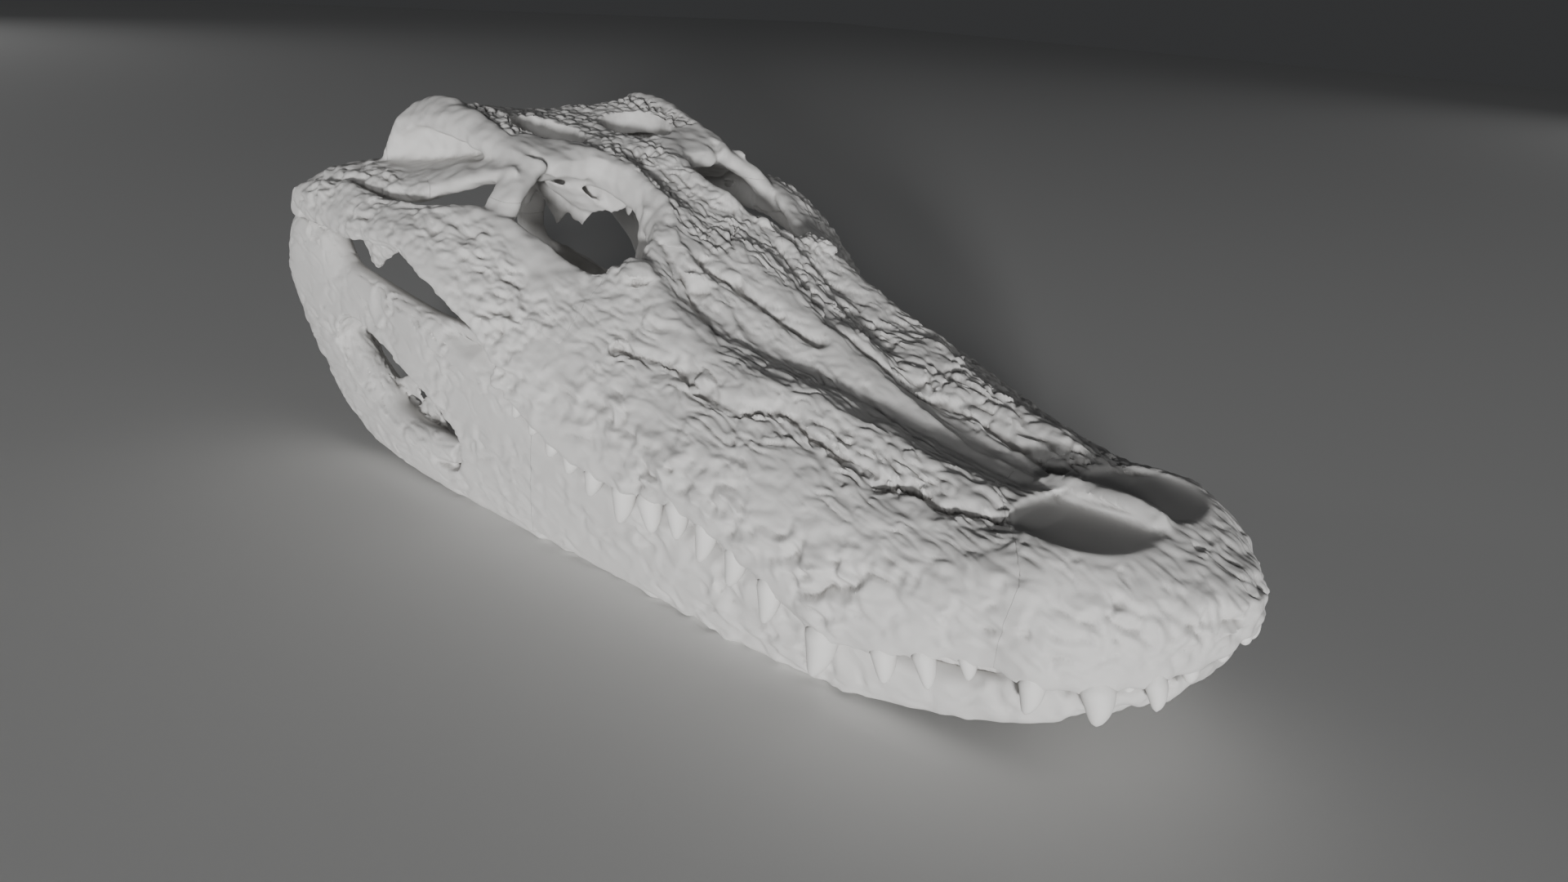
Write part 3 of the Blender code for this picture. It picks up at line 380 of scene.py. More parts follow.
def hashed(cells, seed):
    """A repeatable number from 0 to 1 for each whole-number cell."""
    x, y, z = (cells[:, i].astype(np.int64).astype(np.uint32) for i in range(3))
    value = x * np.uint32(374761393) ^ y * np.uint32(668265263) ^ z * np.uint32(1274126177)
    value = (value + np.uint32(seed * 69069 % 4294967291)) * np.uint32(2246822519)
    value = (value ^ (value >> np.uint32(13))) * np.uint32(3266489917)
    value = value ^ (value >> np.uint32(16))
    return value.astype(np.float32) / np.float32(4294967295.0)


def cell_noise(points, seed):
    """Distance to the nearest and to the second nearest of the scattered cell points."""
    points = points.astype(np.float32)
    base = np.floor(points)
    part = points - base
    first = np.full(len(points), 9.0, np.float32)
    second = first.copy()
    for offset in itertools.product((-1, 0, 1), repeat=3):
        step = np.array(offset, np.float32)
        cell = base + step
        spot = [step[i] + 0.1 + 0.8 * hashed(cell, seed + i) - part[:, i] for i in range(3)]
        distance = spot[0] ** 2 + spot[1] ** 2 + spot[2] ** 2
        second = np.minimum(second, np.maximum(first, distance))
        first = np.minimum(first, distance)
    return np.sqrt(first), np.sqrt(second)


def wave_noise(points, seed):
    """Smooth noise from about -1 to 1."""
    points = points.astype(np.float32)
    base = np.floor(points)
    part = points - base
    ease = part * part * part * (part * (part * 6.0 - 15.0) + 10.0)
    total = np.zeros(len(points), np.float32)
    for offset in itertools.product((0, 1), repeat=3):
        step = np.array(offset, np.float32)
        cell = base + step
        weight = np.ones(len(points), np.float32)
        slope = np.zeros(len(points), np.float32)
        for i in range(3):
            weight *= ease[:, i] if offset[i] else 1.0 - ease[:, i]
            slope += (2.0 * hashed(cell, seed + i) - 1.0) * (part[:, i] - step[i])
        total += weight * slope
    return total * 1.6


def smoothstep(low, high, value):
    part = np.clip((value - low) / (high - low), 0.0, 1.0)
    return part * part * (3.0 - 2.0 * part)


def inside(value, low, high, soft):
    """1 between two limits, with soft ends outside them."""
    return smoothstep(low - soft, low, value) * (1.0 - smoothstep(high, high + soft, value))


def line_distance(points, line):
    """Distance of the points to a line of straight stretches, in as many dimensions as it has."""
    nearest = np.full(len(points), 1e9)
    line = np.array(line, float)
    for start, end in zip(line[:-1], line[1:]):
        way = end - start
        part = np.clip((points - start) @ way / (way @ way), 0.0, 1.0)
        offset = points - start - part[:, None] * way
        nearest = np.minimum(nearest, (offset * offset).sum(axis=1))
    return np.sqrt(nearest)


def read_field(elements, field, width, kind=np.float32):
    """A field of the elements of a mesh, as an array with a row for each."""
    flat = np.empty(len(elements) * width, kind)
    elements.foreach_get(field, flat)
    return flat.reshape(-1, width)


class Surface:
    """The points of a mesh and its normals, as arrays that can be pushed about."""

    def __init__(self, item):
        self.mesh = item.data
        self.count = len(self.mesh.vertices)
        self.read()

    def read(self):
        self.place = read_field(self.mesh.vertices, "co", 3)
        self.normal = read_field(self.mesh.vertex_normals, "vector", 3)

    def push(self, height):
        """Move every point along its normal by its height."""
        place = self.place + self.normal * height[:, None]
        self.mesh.vertices.foreach_set("co", place.astype(np.float32).ravel())
        self.mesh.update()
        self.read()


def top_relief(surface):
    """The long folds of the upper face."""
    place, normal = surface.place, surface.normal
    upward = smoothstep(0.15, 0.5, normal[:, 2]) * (place[:, 2] > 25.0)
    height = np.zeros(surface.count)
    for side, rise, width, line in TOP_FOLDS:
        back = np.array(line)[:, 1]
        near = (upward > 0.0) & (place[:, 1] > back.min() - 3 * width)
        near &= place[:, 1] < back.max() + 3 * width
        if side:
            near &= place[:, 0] * side > -10.0
        spots = np.stack([np.abs(place[near, 0]), place[near, 1]], axis=1)
        distance = line_distance(spots, line)
        fold = rise * np.exp(-(distance / width) ** 2)
        if side:
            fold *= smoothstep(-2.0, 2.0, place[near, 0] * side)
        height[near] += fold
    return height * upward


def socket_relief(surface):
    """A raised collar over each upper tooth and a dip between one tooth and the next."""
    place = surface.place
    across = np.abs(place[:, 0])
    height = np.zeros(surface.count)
    rows = np.array([(x, y, z, width) for x, y, z, dx, dy, dz, width in UPPER_TEETH])
    for x, y, z, width in rows:
        offset = np.stack([across - x, place[:, 1] - y, (place[:, 2] - z - 1.0) * 0.8], axis=1)
        height += COLLAR * np.exp(-(offset ** 2).sum(axis=1) / (0.62 * width) ** 2)
    for first, second in zip(rows[:-1], rows[1:]):
        x, y, z, width = (first + second) / 2.0
        offset = np.stack([across - x, place[:, 1] - y, (place[:, 2] - z) * 0.7], axis=1)
        height -= COLLAR * np.exp(-(offset ** 2).sum(axis=1) / 3.2 ** 2)
    return height


def worn_relief(surface):
    """Low waves of the smooth bones behind the snout, but not of the jaw joint."""
    place = surface.place
    height = np.zeros(surface.count)
    rear = place[:, 1] > WORN_START[0]
    spots = place[rear]
    joint = smoothstep(434.0, 444.0, spots[:, 1]) * (1.0 - smoothstep(50.0, 56.0, spots[:, 2]))
    waves = wave_noise(spots / 13.0, SEED + 103) + 0.6 * wave_noise(spots / 6.0, SEED + 107)
    height[rear] = waves * smoothstep(*WORN_START, spots[:, 1]) * (1.0 - joint)
    return height


def creases(points, seed, sharp=0.4):
    """Rounded ridges parted by narrow creases: 0 on the ridges and -1 in a crease."""
    return smoothstep(0.0, sharp, np.abs(wave_noise(points, seed))) - 1.0


def pattern(name, place, bend):
    """The bent cells of a texture pattern and its seed, for the noise functions."""
    cell, share, seed = PATTERNS[name]
    return place / np.array(cell) + share * bend, seed


def dented(low, points, seed):
    """Shallow rounded hollows: 0 on open bone and -1 at their deepest."""
    return -smoothstep(low, 0.8, wave_noise(points, seed))


def relief(region, patterns):
    """The patterns of a region added up, each at its height."""
    return sum(height * patterns[name] for name, height in RELIEF[region].items())


def texture_cranium(surface):
    """Height of the pits, bumps and wavy ridges of the outer face, by region."""
    place, normal = surface.place, surface.normal
    x, y, z = np.abs(place[:, 0]), place[:, 1], place[:, 2]
    up = normal[:, 2]
    out = normal[:, 0] * np.sign(place[:, 0])
    snout = (1.0 - smoothstep(*SNOUT_END, y)) * smoothstep(-0.35, 0.0, np.maximum(up, out - 0.3))
    cheek = inside(y, *CHEEK_REACH) * smoothstep(84.0, 96.0, x)
    cheek *= smoothstep(0.1, 0.5, out + 0.3 * up)
    brow = inside(y, *BROW_REACH) * (1.0 - smoothstep(14.0, 22.0, x)) * smoothstep(0.3, 0.7, up)
    table = inside(y, *TABLE_REACH) * (1.0 - smoothstep(53.0, 57.0, x)) * smoothstep(0.4, 0.75, up)
    table *= smoothstep(84.0, 88.0, z)
    middle_x, middle_y, half_x, half_y = NOSTRIL_PATCH
    snout *= smoothstep(0.95, 1.25, np.hypot((x - middle_x) / half_x, (y - middle_y) / half_y))
    orbit = np.hypot((x - ORBIT[0]) / ORBIT_SIZE[0], (y - ORBIT[1]) / ORBIT_SIZE[1])
    table *= smoothstep(1.16, 1.3, orbit)
    brow *= smoothstep(1.04, 1.2, orbit)
    sockets = [(row[0], row[1], row[2] + 2.0) for row in UPPER_TEETH]
    low = (snout > 0.0) & (z < 24.0)
    spots = np.stack([x[low], y[low], z[low]], axis=1)
    margin = np.ones(surface.count)
    margin[low] = smoothstep(3.0, 11.0, line_distance(spots, sockets))
    snout *= 0.2 + 0.8 * margin
    mask = (snout + cheek + brow + table) > 0.01
    snout, cheek, brow, table, up = (field[mask] for field in (snout, cheek, brow, table, up))
    place, x, y = place[mask], x[mask], y[mask]
    left = place[:, 0] > 0.0

    bend = np.stack([wave_noise(place / 11.0, SEED + i * 7) for i in range(3)], axis=1)
    patch = np.clip(0.8 + 0.9 * wave_noise(place / 22.0, SEED + 19), 0.25, 1.6)
    first, second = cell_noise(place / 5.8 + 0.3 * bend, SEED + 57)
    patterns = {
        "ridges": creases(*pattern("ridges", place, bend)),
        "short_ridges": creases(*pattern("short_ridges", place, bend)),
        "pits": smoothstep(0.0, 0.45, second - first) - 0.8,
        "bumps": wave_noise(*pattern("bumps", place, bend)),
        "dents": dented(0.05, *pattern("dents", place, bend)),
        "fine": wave_noise(*pattern("fine", place, bend)),
    }

    top = smoothstep(0.5, 0.85, up)
    middle = (1.0 - smoothstep(6.0, 20.0, x)) * inside(y, 95.0, 215.0, 25.0)
    rear = smoothstep(190.0, 230.0, y)
    scarp = line_distance(np.stack([x, y], axis=1), TOP_FOLDS[0][3])
    near_scarp = np.exp(-(scarp / 7.0) ** 2)
    tip = 1.0 - smoothstep(60.0, 95.0, y)
    strength = np.where(left, 1.0, 0.4 + 0.6 * near_scarp)
    strength *= (1.0 - 0.8 * middle) * (1.0 - 0.35 * rear)
    strength *= 1.0 - tip * np.where(left, 0.7, 0.8)
    value = snout * top * strength * patch * relief("snout_ridges", patterns)
    value += snout * (1.0 - top) * patch * (1.0 - 0.35 * tip) * relief("snout_side", patterns)
    value += snout * top * (1.0 - 0.5 * middle) * (relief("snout_top", patterns)
                                                   + 0.8 * tip * patterns["dents"])
    value += cheek * patch * relief("cheek", patterns)
    value += brow * relief("brow", patterns)
    edge = 0.45 + 0.75 * smoothstep(38.0, 46.0, x) + 0.5 * (1.0 - smoothstep(352.0, 368.0, y))
    value += table * edge * relief("table", patterns)
    height = np.zeros(surface.count)
    height[mask] = value
    return height


def texture_jaw(surface):
    """Height of the low bumps and short scratches of the outer face of the lower jaw."""
    place, normal = surface.place, surface.normal
    y, z = place[:, 1], place[:, 2]
    out = normal[:, 0] * np.sign(place[:, 0])
    face = smoothstep(-0.1, 0.4, np.maximum(out, -normal[:, 1]) - 0.2 * np.abs(normal[:, 2]))
    rear = smoothstep(*JAW_REAR, y)
    mask = face > 0.01
    spots = place[mask]
    bend = np.stack([wave_noise(spots / 12.0, SEED + 3 + i * 7) for i in range(3)], axis=1)
    patch = np.clip(0.7 + 1.0 * wave_noise(spots / 26.0, SEED + 23), 0.1, 1.6)
    patterns = {
        "bumps": wave_noise(*pattern("jaw_bumps", spots, bend)),
        "dents": dented(0.1, *pattern("jaw_dents", spots, bend)),
        "fibres": creases(*pattern("fibres", spots, bend), 0.25),
    }
    value = patch * (1.0 - rear[mask]) * relief("jaw_front", patterns)
    value += patch * rear[mask] * relief("jaw_rear", patterns)
    edge = ramus_line(y)[1] - z
    height = -JAW_RECESS * face * (1.0 - smoothstep(1.0, 12.0, edge)) * inside(y, *RECESS_REACH)
    height[mask] += value * face[mask]
    return height


def smooth_rows(rows, step=RING_STEP):
    """Read a table as one smooth curve through its rows, with a row about every step."""
    table = np.array(rows, float)
    gaps = np.maximum(np.linalg.norm(np.diff(table, axis=0), axis=1), 1e-6)
    place = np.concatenate([[0.0], np.cumsum(gaps)])
    slope = np.gradient(table, place, axis=0)
    count = max(2, int(round(place[-1] / step)) + 1)
    result = []
    for value in np.linspace(0.0, place[-1], count):
        index = min(np.searchsorted(place, value, side="right") - 1, len(gaps) - 1)
        span = gaps[index]
        part = (value - place[index]) / span
        start, end = table[index], table[index + 1]
        bend = (part - 1.0) * slope[index] + part * slope[index + 1]
        chord = (end - start) / span
        ease = part * part * (3.0 - 2.0 * part)
        curve = start + (end - start) * ease
        curve += span * part * (1.0 - part) * (chord * (2.0 * part - 1.0) - bend)
        result.append(curve)
    return np.array(result)


def add_object(name, data):
    item = bpy.data.objects.new(name, data)
    bpy.context.scene.collection.objects.link(item)
    return item


def new_object(name, verts, faces):
    mesh = bpy.data.meshes.new(name)
    mesh.from_pydata([tuple(v) for v in verts], [], faces)
    return add_object(name, mesh)


def loft(name, rings):
    """Close a row of equal rings into one solid with its faces pointing out."""
    sides = len(rings[0])
    verts = np.concatenate(rings)
    faces = []
    for row in range(len(rings) - 1):
        for side in range(sides):
            a = row * sides + side
            b = row * sides + (side + 1) % sides
            faces.append((a, b, b + sides, a + sides))
    faces.append(tuple(range(sides))[::-1])
    last = (len(rings) - 1) * sides
    faces.append(tuple(range(last, last + sides)))
    item = new_object(name, verts, faces)
    point_faces_out(item)
    return item


def point_faces_out(item):
    work = bmesh.new()
    work.from_mesh(item.data)
    bmesh.ops.recalc_face_normals(work, faces=work.faces)
    if work.calc_volume(signed=True) < 0.0:
        bmesh.ops.reverse_faces(work, faces=work.faces)
    work.to_mesh(item.data)
    work.free()


def rounded(angle, power):
    """A point of a unit rounded square: power 2 is a circle, more is squarer."""
    c, s = math.cos(angle), math.sin(angle)
    return math.copysign(abs(c) ** (2.0 / power), c), math.copysign(abs(s) ** (2.0 / power), s)


def ring_angles(sides):
    return [2.0 * math.pi * (i + 0.5) / sides for i in range(sides)]


def rounded_ring(place, power):
    """Send the points of a unit rounded square through a function that gives their place."""
    return np.array([place(*rounded(angle, power)) for angle in ring_angles(RING_SIDES)])


def bar(name, stations, power=2.5):
    """Loft a bar or plate from the two edges and the thickness given at each station."""
    rows = smooth_rows(stations)
    middle = (rows[:, 0:3] + rows[:, 3:6]) / 2.0
    along = np.gradient(middle, axis=0)
    rings = []
    for row, centre, way in zip(rows, middle, along):
        half = (row[3:6] - row[0:3]) / 2.0
        across = np.cross(half, way)
        across *= row[6] / 2.0 / np.linalg.norm(across)
        rings.append(rounded_ring(lambda u, v: centre + half * u + across * v, power))
    return loft(name, rings)


def block(name, rows, power=2.6):
    """Loft a body across the midline: distance back, half width, underside, top."""
    rings = []
    for y, half, low, high in smooth_rows(rows):
        middle, rise = (high + low) / 2.0, (high - low) / 2.0
        rings.append(rounded_ring(lambda u, v: (half * u, y, middle + rise * v), power))
    return loft(name, rings)


def upright_loft(name, rows, power=2.2):
    """Loft level rings: height, centre across, centre back, half width, half length."""
    rings = [rounded_ring(lambda u, v: (x + half_x * u, y + half_y * v, z), power)
             for z, x, y, half_x, half_y in smooth_rows(rows)]
    return loft(name, rings)


def nostril():
    """A cutter whose inner side is straight along the bar between the nostrils."""
    rings = []
    for z, inner, outer, front, back in smooth_rows(NOSTRIL, NOSTRIL_STEP):
        points = []
        for angle in ring_angles(RING_SIDES * 2):
            u, v = rounded(angle, 2.2 if math.cos(angle) > 0.0 else 3.6)
            points.append((0.5 * (inner + outer + (outer - inner) * u),
                           0.5 * (front + back + (back - front) * v), z))
        rings.append(np.array(points))
    return loft("nostril", rings)


def roof(name, rows):
    """Loft a plate across the midline whose edges rise above its middle."""
    rings = []
    for y, half, high, rim, thick in smooth_rows(rows):
        def place(u, v):
            bevel = 1.0 - ROOF_BEVEL * (v > 0.0)
            return half * u * bevel, y, high + rim * u * u - thick / 2.0 + thick / 2.0 * v
        rings.append(rounded_ring(place, 4.0))
    return loft(name, rings)


def snout_ring(row):
    """Half of the snout's outline from the palate over the socket edge to the top, mirrored."""
    y, half, edge, palate, top, power = row
    ledge = min(ALVEOLUS, half * 0.5)
    outline = [((half - ledge) * 0.5, palate), (half - ledge, palate + (edge - palate) * 0.25),
               (half - ledge * 0.75, edge), (half - 2.0, edge)]
    for i in range(ARCH_POINTS):
        angle = math.pi / 2.0 * (i + 0.5) / ARCH_POINTS
        u, v = rounded(angle, power)
        outline.append((half * u, edge + (top - edge) * v))
    right = [(x, y, z) for x, z in outline]
    left = [(-x, y, z) for x, z in reversed(outline)]
    return np.array(right + left)


def shaped(name, centre, scale, create, **options):
    """A bmesh primitive, scaled and moved to its place."""
    item = new_object(name, [], [])
    work = bmesh.new()
    matrix = Matrix.Translation(Vector(centre)) @ Matrix.Diagonal((*scale, 1.0))
    create(work, matrix=matrix, **options)
    work.to_mesh(item.data)
    work.free()
    return item


def ellipsoid(name, centre, size):
    item = shaped(name, centre, size, bmesh.ops.create_uvsphere, radius=1.0,
                  u_segments=SPHERE_SEGMENTS, v_segments=SPHERE_SEGMENTS // 2)
    point_faces_out(item)
    return item


def box(name, low, high):
    low, high = Vector(low), Vector(high)
    return shaped(name, (low + high) / 2.0, high - low, bmesh.ops.create_cube, size=1.0)


def mirrored(item):
    copy = add_object(item.name, item.data.copy())
    copy.data.transform(Matrix.Diagonal((-1.0, 1.0, 1.0, 1.0)))
    point_faces_out(copy)
    return copy


def both_sides(item):
    return [item, mirrored(item)]


def apply_modifiers(item):
    bpy.context.view_layer.update()
    graph = bpy.context.evaluated_depsgraph_get()
    mesh = bpy.data.meshes.new_from_object(item.evaluated_get(graph))
    item.modifiers.clear()
    old = item.data
    item.data = mesh
    bpy.data.meshes.remove(old)


def join(name, items):
    """Put the closed forms into one object, overlapping as they are."""
    verts, faces, start = [], [], 0
    for item in items:
        verts += [tuple(v.co) for v in item.data.vertices]
        faces += [tuple(start + i for i in p.vertices) for p in item.data.polygons]
        start += len(item.data.vertices)
        bpy.data.objects.remove(item, do_unlink=True)
    return new_object(name, verts, faces)


def cut_out(item, others, solver="MANIFOLD"):
    """Cut the other forms out of the item and remove them."""
    for other in others:
        modifier = item.modifiers.new("cut", "BOOLEAN")
        modifier.operation = "DIFFERENCE"
        modifier.object = other
        modifier.solver = solver
    apply_modifiers(item)
    for other in others:
        bpy.data.objects.remove(other, do_unlink=True)


def remesh(item, voxel, turns):
    modifier = item.modifiers.new("blend", "REMESH")
    modifier.mode = "VOXEL"
    modifier.voxel_size = voxel
    smooth = item.modifiers.new("smooth", "SMOOTH")
    smooth.factor = SMOOTH_FACTOR
    smooth.iterations = turns
    apply_modifiers(item)


def basisphenoid():
    """Loft the floor of the braincase from its level rings."""
    rings = []
    for z, half, front, rear in smooth_rows(BASISPHENOID):
        middle, reach = (front + rear) / 2.0, (rear - front) / 2.0
        rings.append(rounded_ring(lambda u, v: (half * u, middle + reach * v, z), 2.6))
    return loft("basisphenoid", rings)


def build_cranium():
    """All the bones above the lower jaw, as one form."""
    snout = loft("snout", [snout_ring(row) for row in smooth_rows(SNOUT)])
    x, y, z = ORBIT
    half_x, half_y, half_z = ORBIT_SIZE
    orbit = upright_loft("orbit", [(z - half_z, x, y, half_x, half_y), (z + half_z, x, y, half_x, half_y)])
    cut_out(snout, both_sides(orbit), "EXACT")
    pieces = [snout, roof("table", TABLE), roof("frontal", FRONTAL), block("palatine", PALATINE)]
    pieces.append(block("braincase", BRAINCASE))
    pieces.append(ellipsoid("occipital condyle", OCCIPITAL_CONDYLE, [OCCIPITAL_CONDYLE_RADIUS] * 3))
    pieces.append(basisphenoid())
    pieces += both_sides(ellipsoid("boss", LACRIMAL_BOSS, LACRIMAL_BOSS_SIZE))
    for name, stations in BARS.items():
        pieces += both_sides(bar(name, stations))
    skull = join("cranium", pieces)
    remesh(skull, ROUGH_VOXEL, 0)
    cutters = both_sides(nostril())
    cutters += both_sides(upright_loft("window", TEMPORAL_FENESTRA))
    cutters.append(ellipsoid("foramen", FORAMEN, FORAMEN_SIZE))
    cutters += joint_block(-90.0, JOINT_LEVEL + JOINT_GAP / 2.0)
    cut_out(skull, cutters)
    remesh(skull, CRANIUM_VOXEL, SMOOTH_TURNS)
    return skull


def build_jaw():
    """Both halves of the lower jaw, as one form."""
    pieces = both_sides(bar("ramus", RAMUS, power=2.8))
    jaw = join("jaw", pieces + [block("chin", SYMPHYSIS, power=3.0)])
    remesh(jaw, ROUGH_VOXEL, 0)
    cut_out(jaw, joint_block(JOINT_LEVEL - JOINT_GAP / 2.0, 90.0))
    cut_out(jaw, both_sides(bar("window", JAW_WINDOW, power=3.0)))
    forms = [jaw] + both_sides(bar("lip", JAW_LIP, power=2.0))
    for stations in SPLINTS:
        forms += both_sides(bar("splint", stations))
    jaw = join("jaw", forms)
    remesh(jaw, JAW_VOXEL, SMOOTH_TURNS)
    return jaw


def joint_block(low, high):
    """The part of the jaw joint between two levels, on both sides."""
    return both_sides(box("joint", (JOINT_CENTRE - JOINT_HALF_WIDTH, JOINT_FRONT, low),
                          (JOINT_CENTRE + JOINT_HALF_WIDTH, JOINT_REAR, high)))


def seam_wall(points, low, high):
    """A thin upright wall along a suture, which winds a little to each side of its points."""
    line = np.array(points, float)
    lengths = np.linalg.norm(np.diff(line, axis=0), axis=1)
    place = np.concatenate([[0.0], np.cumsum(lengths)])
    count = max(3, int(place[-1] / SEAM_STEP))
    steps = np.linspace(0.0, place[-1], count)
    spots = np.stack([np.interp(steps, place, line[:, i]) for i in range(2)], axis=1)
    way = np.gradient(spots, axis=0)
    across = np.stack([-way[:, 1], way[:, 0]], axis=1)
    across /= np.linalg.norm(across, axis=1)[:, None]
    wave = np.zeros(count)
    wave[1:-1] = wave_noise(np.stack([steps / 4.0, steps * 0.0 + 1.0, steps * 0.0], axis=1), SEED)[1:-1]
    spots = spots + across * (wave * SEAM_WAVE)[:, None]
    outline = np.concatenate([spots + across * SEAM_GAP / 2.0, (spots - across * SEAM_GAP / 2.0)[::-1]])
    size = len(outline)
    verts = [(x, y, level) for level in (low, high) for x, y in outline]
    faces = [(i, (i + 1) % size, (i + 1) % size + size, i + size) for i in range(size)]
    for offset in (0, size):
        for i in range(size // 2 - 1):
            faces.append((offset + i, offset + i + 1, offset + size - 2 - i, offset + size - 1 - i))
    item = new_object("seam", verts, faces)
    point_faces_out(item)
    return item


def level_wall(seam):
    x, y, z, half_x, half_y = seam
    return box("seam", (x - half_x, y - half_y, z - SEAM_GAP / 2.0),
               (x + half_x, y + half_y, z + SEAM_GAP / 2.0))


def loose_labels(mesh):
    """A number for each point of a mesh, the same for all the points that hang together."""
    start, end = read_field(mesh.edges, "vertices", 2, np.int32).T
    label = np.arange(len(mesh.vertices))
    while True:
        low = np.minimum(label[start], label[end])
        fresh = label.copy()
        np.minimum.at(fresh, label[start], low)
        np.minimum.at(fresh, label[end], low)
        fresh = fresh[fresh]
        while (fresh[fresh] != fresh).any():
            fresh = fresh[fresh]
        if (fresh == label).all():
            return label
        label = fresh


def mesh_piece(name, verts, faces):
    """An object of triangles from arrays, without the points that no triangle uses."""
    used, corners = np.unique(faces.ravel(), return_inverse=True)
    mesh = bpy.data.meshes.new(name)
    mesh.vertices.add(len(used))
    mesh.vertices.foreach_set("co", verts[used].astype(np.float32).ravel())
    mesh.loops.add(len(corners))
    mesh.loops.foreach_set("vertex_index", corners.astype(np.int32).ravel())
    mesh.polygons.add(len(faces))
    mesh.polygons.foreach_set("loop_start", np.arange(0, len(corners), 3, dtype=np.int32))
    mesh.update(calc_edges=True)
    return add_object(name, mesh)


def named_pieces(item, seeds):
    """Split a cut object and name each of its main pieces after the seed point nearest to it."""
    verts = Surface(item).place
    item.data.calc_loop_triangles()
    faces = read_field(item.data.loop_triangles, "vertices", 3, np.int32)
    label = loose_labels(item.data)
    numbers, counts = np.unique(label[faces[:, 0]], return_counts=True)
    main_numbers = list(numbers[np.argsort(counts)[::-1][:len(seeds)]])
    pieces = {}
    for name, seed in seeds.items():
        def away(number):
            points = verts[label == number]
            return np.linalg.norm((points.min(axis=0) + points.max(axis=0)) / 2.0 - seed)
        number = min(main_numbers, key=away)
        main_numbers.remove(number)
        pieces[name] = mesh_piece(name + "_bone", verts, faces[label[faces[:, 0]] == number])
    bpy.data.objects.remove(item, do_unlink=True)
    return pieces


def on_both_sides(seeds):
    named = {}
    for name, (x, y, z) in seeds.items():
        for side, sign in SIDES:
            named[name + "_" + side] = (sign * x, y, z)
    return named


def paint_crease_shade(item, shade_amount):
    """Keep the painted shade of each point, by how deep it lies in a crease, for the colour of the bone.
    """
    layer = item.data.color_attributes.new("crease", "FLOAT_COLOR", "POINT")
    shade_values = np.ones((len(item.data.vertices), 4), np.float32)
    shade_values[:, :3] = shade_amount[:, None]
    layer.data.foreach_set("color", shade_values.ravel())


def crease_shade_of(item):
    """Painted shade: 0 on open bone and up to 1 in narrow creases and wide folds, by the height of the
    neighbours.
    """
    surface = Surface(item)
    count = surface.count
    first, second = read_field(item.data.edges, "vertices", 2, np.int32).T
    degree = np.maximum(np.bincount(first, minlength=count) + np.bincount(second, minlength=count), 1)

    def mean(field):
        total = np.bincount(first, field[second], count) + np.bincount(second, field[first], count)
        return total / degree

    shade_amount = np.zeros(count)
    smooth = surface.place.astype(float)
    turn = 0
    for turns, least, span, strength in CREASE_SHADE_DEPTHS:
        while turn < turns:
            smooth = np.stack([mean(smooth[:, i]) for i in range(3)], axis=1)
            turn += 1
        depth = ((smooth - surface.place) * surface.normal).sum(axis=1)
        depth = 0.5 * depth + 0.5 * mean(depth)
        shade_amount = np.maximum(shade_amount, strength * np.clip((depth - least) / span, 0.0, 1.0) ** 0.8)
    # Faces that look up take the full painted shade, upright faces only a share.
    upward = smoothstep(0.25, 0.65, surface.normal[:, 2])
    return shade_amount * (CREASE_SHADE_SIDE + (1.0 - CREASE_SHADE_SIDE) * upward)


def part_cranium(cranium):
    """Cut the bones of the cranium apart along their seams."""
    walls = [seam_wall(*seam) for seam in (MIDLINE, FRONTAL_SEAM, PALATE_SEAM, PREMAXILLA_SEAM)]
    walls += [level_wall(PILLAR_SEAM), level_wall(BASISPHENOID_SEAM)]
    walls += both_sides(level_wall(POSTORBITAL_SEAM))
    for seam in (JUGAL_SEAM, ECTOPTERYGOID_SEAM, QUADRATOJUGAL_SEAM, QUADRATE_SEAM):
        walls += both_sides(seam_wall(*seam))
    cut_out(cranium, walls)
    return named_pieces(cranium, {**on_both_sides(CRANIUM_SEEDS), **MIDLINE_SEEDS})


def part_jaw(jaw):
    """Cut the lower jaw into its front and rear bones."""
    cut_out(jaw, [seam_wall(*CHIN_SEAM)] + both_sides(seam_wall(*DENTARY_SEAM)))
    return named_pieces(jaw, on_both_sides(JAW_SEEDS))


def set_down(bones):
    """Turn the bones to the frame of the solids and cut their feet level with the floor."""
    for item in bones:
        item.data.transform(REST)
        if min(v.co.z for v in item.data.vertices) < 0.0:
            slab = box("slab", (-0.5, -0.5, -0.1), (0.5, 0.5, 0.0))
            cut_out(item, [slab])


def tooth(root, tip, width):
    """A closed curved cone from a root sunk in the bone to a rounded point."""
    root, way = np.array(root, float), np.array(tip, float)
    length = np.linalg.norm(way)
    axis = way / length
    across = np.cross(axis, (0.0, 1.0, 0.0))
    across /= np.linalg.norm(across)
    other = np.cross(axis, across)
    rings = []
    for i in range(TOOTH_RINGS):
        part = i / (TOOTH_RINGS - 1.0)
        place = (part * (1.0 + TOOTH_ROOT / length)) - TOOTH_ROOT / length
        if place < 0.0:
            radius = 0.5 + 0.04 * place * length
        else:
            radius = 0.5 * math.sqrt(max(1.0 - place ** 3.0, 0.0)) * (1.0 - 0.42 * place)
        bow = 0.06 * length * math.sin(math.pi * min(max(place, 0.0), 1.0))
        centre = root + axis * place * length - np.array([0.0, 1.0, 0.0]) * bow
        points = [centre + width * max(radius, 0.03) * (across * math.cos(a) + 0.94 * other * math.sin(a))
                  for a in ring_angles(TOOTH_SIDES)]
        rings.append(np.array(points))
    return loft("tooth", rings)


def ramus_line(y):
    """Where the lower teeth leave the bone."""
    rows = np.array(RAMUS, float)[:, [1, 3, 5]]
    chin = np.array([(r[0], r[1] - 5.0, r[3]) for r in SYMPHYSIS[:4]])
    rows = np.concatenate([chin, rows[rows[:, 0] > chin[-1, 0] + 5.0]])
    return np.interp(y, rows[:, 0], rows[:, 1]), np.interp(y, rows[:, 0], rows[:, 2])


